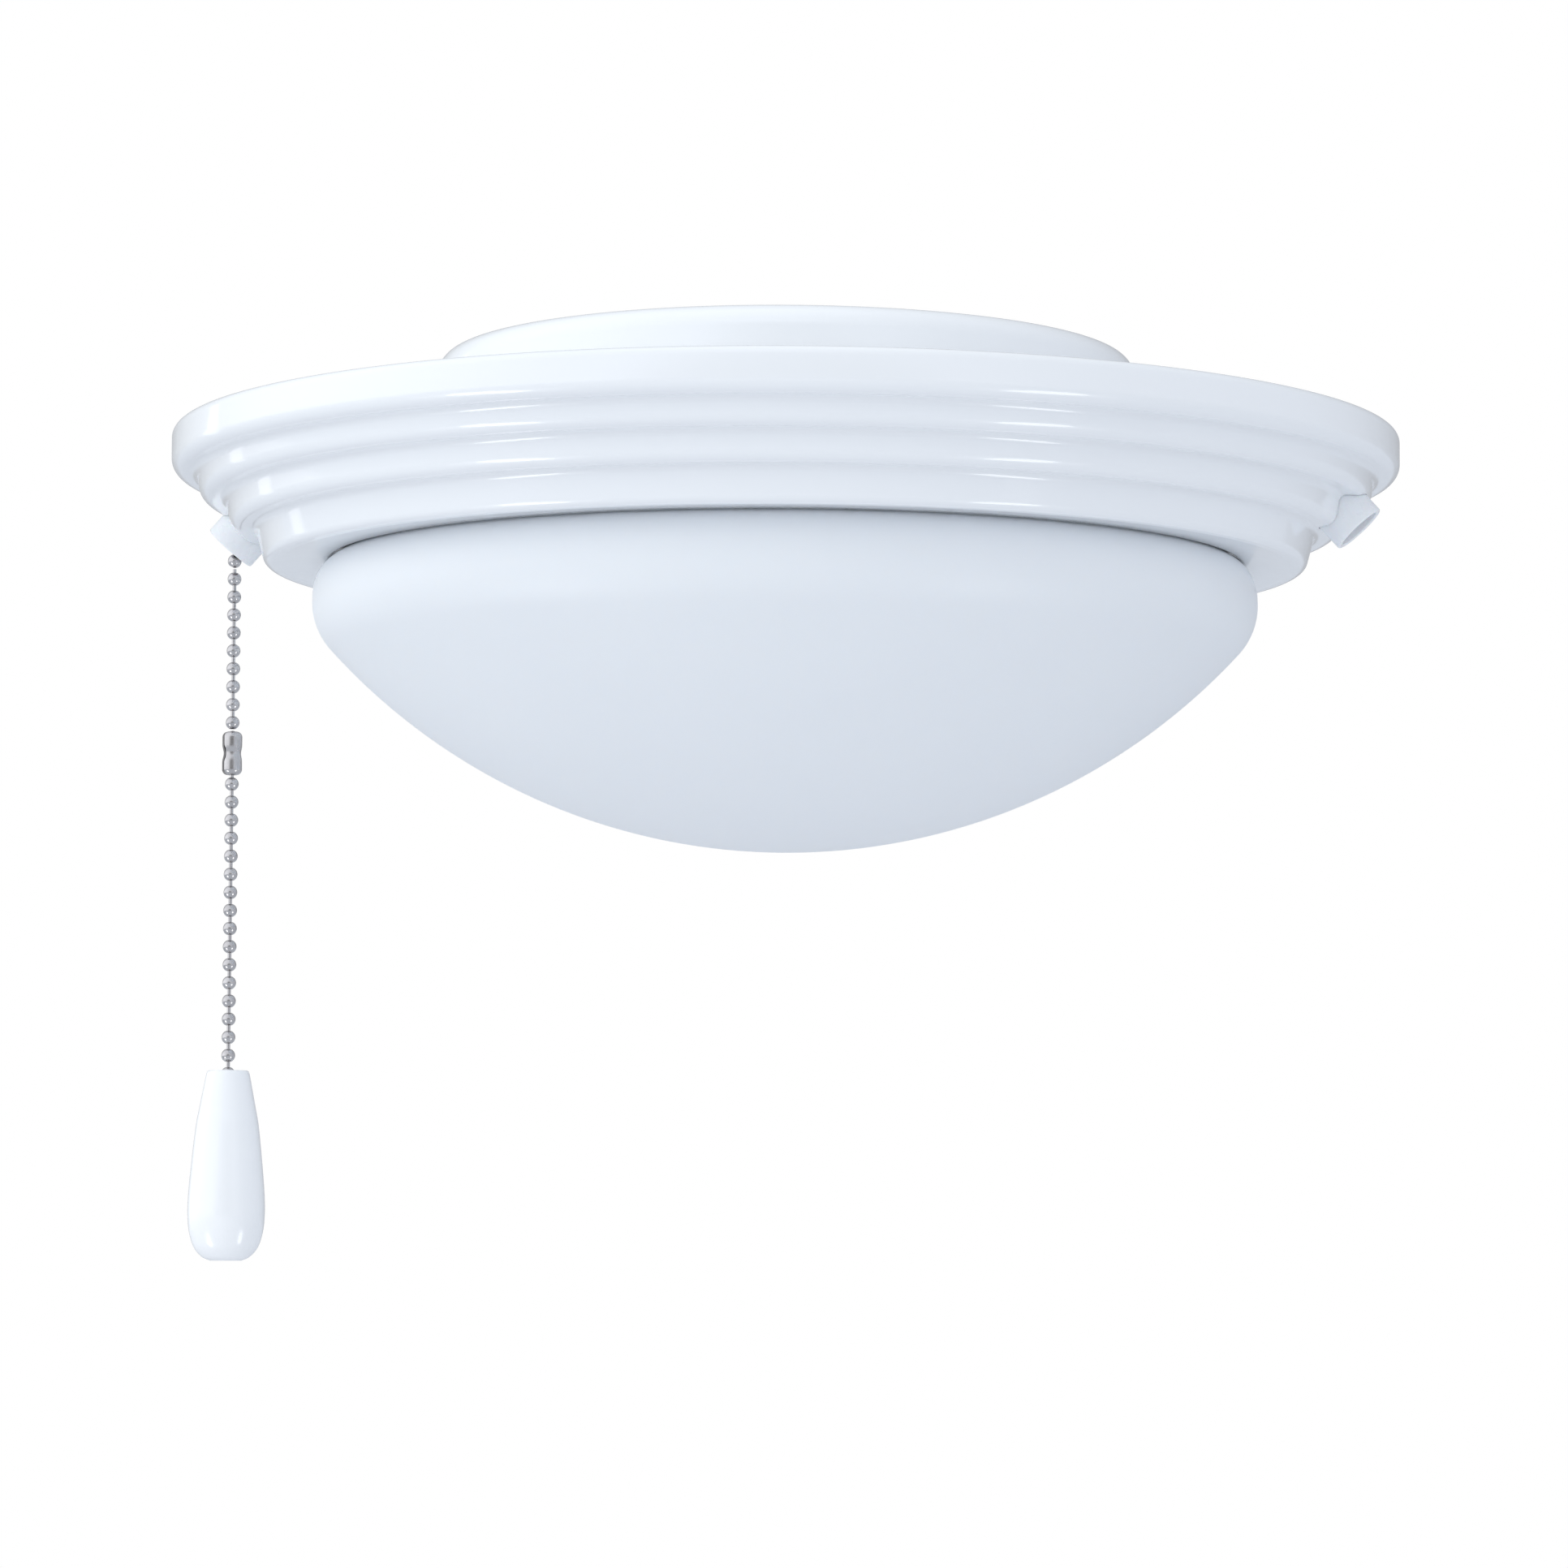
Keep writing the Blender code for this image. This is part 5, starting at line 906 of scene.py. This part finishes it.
cap_inside = CAP_RADIUS - CAP_WALL
cap_line = filleted([
    (0, BULB_FOOT, 0), (CAP_TIP, BULB_FOOT, 0.0008), (CAP_TIP, BULB_FOOT + CAP_TIP_HEIGHT, 0.0004),
    (CAP_RADIUS, CAP_LOW, 0.0015), (CAP_RADIUS, CAP_MOUTH, 0), (cap_inside, CAP_MOUTH, 0),
    (cap_inside, CAP_LOW + CAP_WALL, 0), (0, CAP_LOW + CAP_WALL, 0)], longest=EDISON_PITCH / 14)
bulb_line = np.vstack([globe_wall(0, 24), globe_wall(BULB_WALL, 16)[::-1]])
cap_thread = rolled(CAP_THREAD, EDISON_PITCH, CAP_LOW + CAP_BAND, CAP_MOUTH - CAP_BAND)
for index, letter in enumerate("ab"):
    piece("globe_lamp_" + letter, placed(revolved(bulb_line, 96), holder_frame(index)), bulb_white,
          "bulb_glass_" + letter)
    piece("lamp_cap_" + letter, placed(revolved(cap_line, 96, cap_thread), holder_frame(index)), aluminium,
          "bulb_cap_" + letter)


# Wiring
# Stranded leads in PVC: white ones from the switch down through a rubber grommet in the deck,
# black ones to the lampholders, joined to the supply in two closed-end connectors.

CONNECTOR_PLACE, CONNECTOR_DROP, CONNECTOR_LENGTH = 0.0180, 0.0066, 0.0170
CONNECTOR_RADIUS, CONNECTOR_TIP, RIB_COUNT, RIB_DEPTH = 0.0045, 0.0026, 18, 0.00018
LEAD_RADIUS, LEAD_DROP, LEAD_ENTRY = 0.0010, 0.0036, 0.0050
GROMMET_BORE, GROMMET_RADIUS, GROMMET_LIP = 0.0032, 0.0070, 0.0014

rubber = "rubber", finish(
    "black_rubber", (0.03, 0.03, 0.03), 0.68, ((0.022, 0.022, 0.023), (0.042, 0.041, 0.04), 200, 5),
    (0.58, 0.78, 500, 4), [(0.00002, 1000, 4)])
pale_pvc = "lead_white", finish(
    "white_pvc", (0.80, 0.80, 0.77), 0.42, ((0.76, 0.76, 0.72), (0.83, 0.83, 0.80), 120, 4),
    (0.34, 0.52, 500, 4), [(0.00001, 1200, 3)], Subsurface_Weight=0.08, Subsurface_Scale=0.001)
dark_pvc = "lead_black", finish(
    "black_pvc", (0.035, 0.035, 0.04), 0.42, ((0.025, 0.025, 0.03), (0.05, 0.05, 0.055), 120, 4),
    (0.34, 0.52, 500, 4), [(0.00001, 1200, 3)])
connector_cap = "connector", finish(
    "connector_nylon", (0.82, 0.82, 0.79), 0.46, ((0.79, 0.79, 0.75), (0.85, 0.85, 0.82), 100, 4),
    (0.38, 0.55, 400, 4), [(0.00002, 700, 3)], Subsurface_Weight=0.1, Subsurface_Scale=0.0015)


def tube(route, sides=24, steps=10):
    """A lead along a smooth route. Two unit vectors square to the curve carry each ring; they are
    found by turning a fixed vector out of the curve's direction at every point. Each end closes in a
    ring with no radius."""
    line = smooth_line(np.array(route), steps)
    ahead = np.gradient(line, axis=0)
    ahead /= np.linalg.norm(ahead, axis=1)[:, None]
    across = np.cross(ahead, np.array([0.13, 0.99, 0.05]))
    across /= np.linalg.norm(across, axis=1)[:, None]
    other = np.cross(ahead, across)
    angle = np.arange(sides)[None, :, None] * TURN / sides
    points = line[:, None] + (across[:, None] * np.cos(angle) + other[:, None] * np.sin(angle)) * LEAD_RADIUS
    ends = np.repeat(line[[0, -1], None], sides, axis=1)
    points = np.concatenate([ends[:1], points, ends[1:]])
    return points.reshape(-1, 3), grid_faces(len(points), sides, round_rows=False)


def ribbed(angle, radius, height):
    """The ribs that the fingers turn a connector by, on its wide part."""
    wide = ((radius > CONNECTOR_RADIUS * 0.93) & (height > CONNECTOR_LENGTH * 0.5)
            & (height < CONNECTOR_LENGTH * 0.95))
    return radius - wide * RIB_DEPTH * (1 + np.cos(angle * RIB_COUNT)) / 2, height


wire_z, run_z = DECK_Z - CONNECTOR_DROP, DECK_Z - LEAD_DROP
pitch = LEAD_RADIUS * 2
mouth_x = CONNECTOR_PLACE + CONNECTOR_LENGTH + GAP * 2
entry_x, entry_z = HOLDER_BACK - LEAD_ENTRY - GAP, HOLDER_Z + HOLDER_CAP_RADIUS + GAP * 2
connector_line = filleted([
    (0, 0, 0), (CONNECTOR_TIP, 0, 0.0008), (CONNECTOR_RADIUS, CONNECTOR_LENGTH / 2, 0.004),
    (CONNECTOR_RADIUS, CONNECTOR_LENGTH, 0.0005), (0, CONNECTOR_LENGTH, 0)], longest=0.0004)
black_lead = tube([
    (mouth_x, pitch * 1.3, wire_z), (mouth_x + pitch, pitch * 1.3, wire_z),
    (mouth_x + pitch * 4, pitch * 1.8, wire_z + pitch / 2),
    (entry_x - pitch * 5, HOLDER_OFFSET - pitch * 4, run_z - pitch / 2),
    (entry_x - pitch / 2, HOLDER_OFFSET - pitch / 2, run_z - pitch * 2),
    (entry_x, HOLDER_OFFSET, entry_z + pitch), (entry_x, HOLDER_OFFSET, entry_z)])
for index, letter in enumerate("ab"):
    half_round = turned(math.pi * index)
    piece("closed_connector_%d" % (index + 1), placed(revolved(connector_line, 144, ribbed),
          half_round @ at(CONNECTOR_PLACE, 0, wire_z) @ turned(math.pi / 2, "Y")),
          connector_cap, "wire_connector_%d" % (index + 1))
    piece("black_lead_" + letter, placed(black_lead, half_round), dark_pvc, "lampholder_lead_" + letter)
switch_back = -SEAT_BACK - SWITCH_LENGTH - GAP * 2
over_z = DECK_TOP + pitch * 1.3
for number, lane, end in ((1, -pitch * 0.6, 0), (2, pitch * 0.6, pitch * 1.3)):
    leave = [outlet @ Vector((SWITCH_HEIGHT / 4, -lane * 2, switch_back - out)) for out in (0, pitch)]
    piece("white_lead_%d" % number, tube([
        *leave, (-WELL_RADIUS - pitch * 3, lane * 2, over_z), (-WELL_RADIUS + pitch * 3, lane * 2, over_z),
        (-GROMMET_PLACE - pitch * 3, lane, DECK_TOP + pitch * 2),
        (-GROMMET_PLACE, lane, DECK_TOP + pitch / 2), (-GROMMET_PLACE, lane, DECK_Z - pitch),
        (-GROMMET_PLACE + pitch * 2, lane, DECK_Z - pitch * 2.5),
        (-mouth_x - pitch * 2, end, wire_z), (-mouth_x - pitch, end, wire_z),
        (-mouth_x, end, wire_z)]), pale_pvc, "switch_lead_%d" % number)
low, high = DECK_Z - GAP, DECK_TOP + GAP
grommet_line = softened([
    (GROMMET_BORE, low - GROMMET_LIP), (GROMMET_BORE, high + GROMMET_LIP),
    (GROMMET_RADIUS, high + GROMMET_LIP), (GROMMET_RADIUS, high), (GROMMET_HOLE - GAP, high),
    (GROMMET_HOLE - GAP, low), (GROMMET_RADIUS, low), (GROMMET_RADIUS, low - GROMMET_LIP)], 0.0003)
piece("rubber_grommet", placed(revolved(grommet_line, 72), at(-GROMMET_PLACE, 0, 0)), rubber, "lead_grommet")


# Studio
# White surroundings that shade off from one side to the other, elliptical lamps to the left, to
# the right, behind and above, and a pale floor far below the hanging kit; the camera looks a
# little up at it, as in the photograph.

CAMERA_AZIMUTH, CAMERA_DISTANCE = 10, 1.35
CAMERA_RISE = 8.2                       # from the lens to the middle of the pan's rim
CAMERA_PITCH, CAMERA_ROLL = 4.86, 0.3   # of the lens itself
PHOTO_SIDE = 1932                       # pixels along the photograph's side
FOCAL_PIXELS = 5.36 * CAMERA_DISTANCE * 1000
SENSOR = 36.0
BRIGHT_SIDE = (-0.88, -0.27, -0.28)
SHADE_LOW, SHADE_HIGH = (0.60, 0.635, 0.70, 1), (1.49, 1.54, 1.56, 1)
MIRRORED_WHITE = 0.2                    # the share of plain white in what gloss mirrors
MIRRORED_GREYS = ((0, 0.30), (0.46, 1.0), (0.90, 0.92), (0.985, 0.12))
FLOOR_Z, FLOOR_HALF = -1.7, 20


def bearing(azimuth, rise):
    azimuth, rise = math.radians(azimuth), math.radians(rise)
    return Vector((math.sin(azimuth) * math.cos(rise), -math.cos(azimuth) * math.cos(rise), math.sin(rise)))


away = bearing(CAMERA_AZIMUTH, -CAMERA_RISE)
lens = bpy.data.cameras.new("photo_camera")
lens.sensor_width, lens.lens = SENSOR, FOCAL_PIXELS / PHOTO_SIDE * SENSOR
lens.clip_start, lens.clip_end = 0.01, 50.0
camera = shown("photo_camera", lens)
camera.matrix_world = (at(*(Vector((0, 0, RIM_Z)) + away * CAMERA_DISTANCE))
                       @ turned(math.radians(CAMERA_AZIMUTH)) @ turned(math.radians(90 + CAMERA_PITCH), "X")
                       @ turned(math.radians(CAMERA_ROLL)))
bpy.context.scene.camera = camera

world = bpy.data.worlds.new("studio")
world.use_nodes = True
bpy.context.scene.world = world
sky = world.node_tree
ray = wired(sky, "LightPath").outputs
way = wired(sky, "TexCoord").outputs["Generated"]


def towards(direction):
    """How far a ray points in a direction: their dot product, carried from -1 to 1 over to 0 to 1."""
    product = wired(sky, "VectorMath", {0: way, 1: direction}, operation="DOT_PRODUCT").outputs["Value"]
    return wired(sky, "MapRange", {"Value": product, "From Min": -1, "From Max": 1}).outputs["Result"]


shade = wired(sky, "Mix", {"Factor": towards(BRIGHT_SIDE), "A": SHADE_LOW, "B": SHADE_HIGH}, data_type="RGBA")
ramp = wired(sky, "ValToRGB", {"Fac": towards(away)})
stops = ramp.color_ramp.elements
ramp.color_ramp.interpolation = "EASE"
stops.remove(stops[1])
for index, (place, grey) in enumerate(MIRRORED_GREYS):
    stop = stops.new(place) if index else stops[0]
    stop.color = (grey, grey, grey * 1.04, 1)
lit = wired(sky, "Mix", {"Factor": ray["Is Glossy Ray"]}, data_type="RGBA", blend_type="MULTIPLY")
sky.links.new(shade.outputs["Result"], lit.inputs["A"])
sky.links.new(ramp.outputs["Color"], lit.inputs["B"])
background = sky.nodes["Background"]
sky.links.new(lit.outputs["Result"], background.inputs["Color"])
white = wired(sky, "Background", {"Color": (1, 1, 1, 1)})
mirrored = wired(sky, "Math", {0: ray["Is Glossy Ray"], 1: MIRRORED_WHITE}, operation="MULTIPLY").outputs[0]
through = wired(sky, "Math", {0: mirrored, 1: ray["Is Transmission Ray"]}, operation="MAXIMUM").outputs[0]
seen = wired(sky, "Math", {0: ray["Is Camera Ray"], 1: through}, operation="MAXIMUM").outputs[0]
blend = wired(sky, "MixShader", {0: seen, 1: background.outputs[0], 2: white.outputs[0]})
sky.links.new(blend.outputs["Shader"], sky.nodes["World Output"].inputs["Surface"])

for name, azimuth, rise, distance, width, height, power in (
        ("rear_left_lamp", -118, 0, 1.6, 0.18, 0.7, 0.2), ("left_lamp", -52, -38, 1.3, 0.28, 0.50, 1.2),
        ("left_lamp_edge", -52, -38, 1.35, 0.64, 0.75, 0.5), ("right_lamp", 63, -38, 1.3, 0.28, 0.50, 1.1),
        ("right_lamp_edge", 63, -38, 1.35, 0.64, 0.75, 0.35), ("top_box", 0, 75, 1.6, 1.2, 1.2, 0.7)):
    light = bpy.data.lights.new(name, "AREA")
    light.shape, light.size, light.size_y, light.energy = "ELLIPSE", width, height, power
    side = bearing(azimuth, rise)
    shown(name, light).matrix_world = (at(*(Vector((0, 0, RIM_Z)) + side * distance))
                                       @ side.to_track_quat("Z", "Y").to_matrix().to_4x4())

floor = shown("studio_floor", mesh_of("studio_floor", (np.array([
    (x * FLOOR_HALF, y * FLOOR_HALF, FLOOR_Z) for x, y in ((-1, -1), (1, -1), (1, 1), (-1, 1))]),
    [[0, 1, 2, 3]])))
floor.data.materials.append(finish("pale_floor", (0.63, 0.645, 0.68), 0.7))

bpy.context.scene.view_settings.view_transform = "Standard"
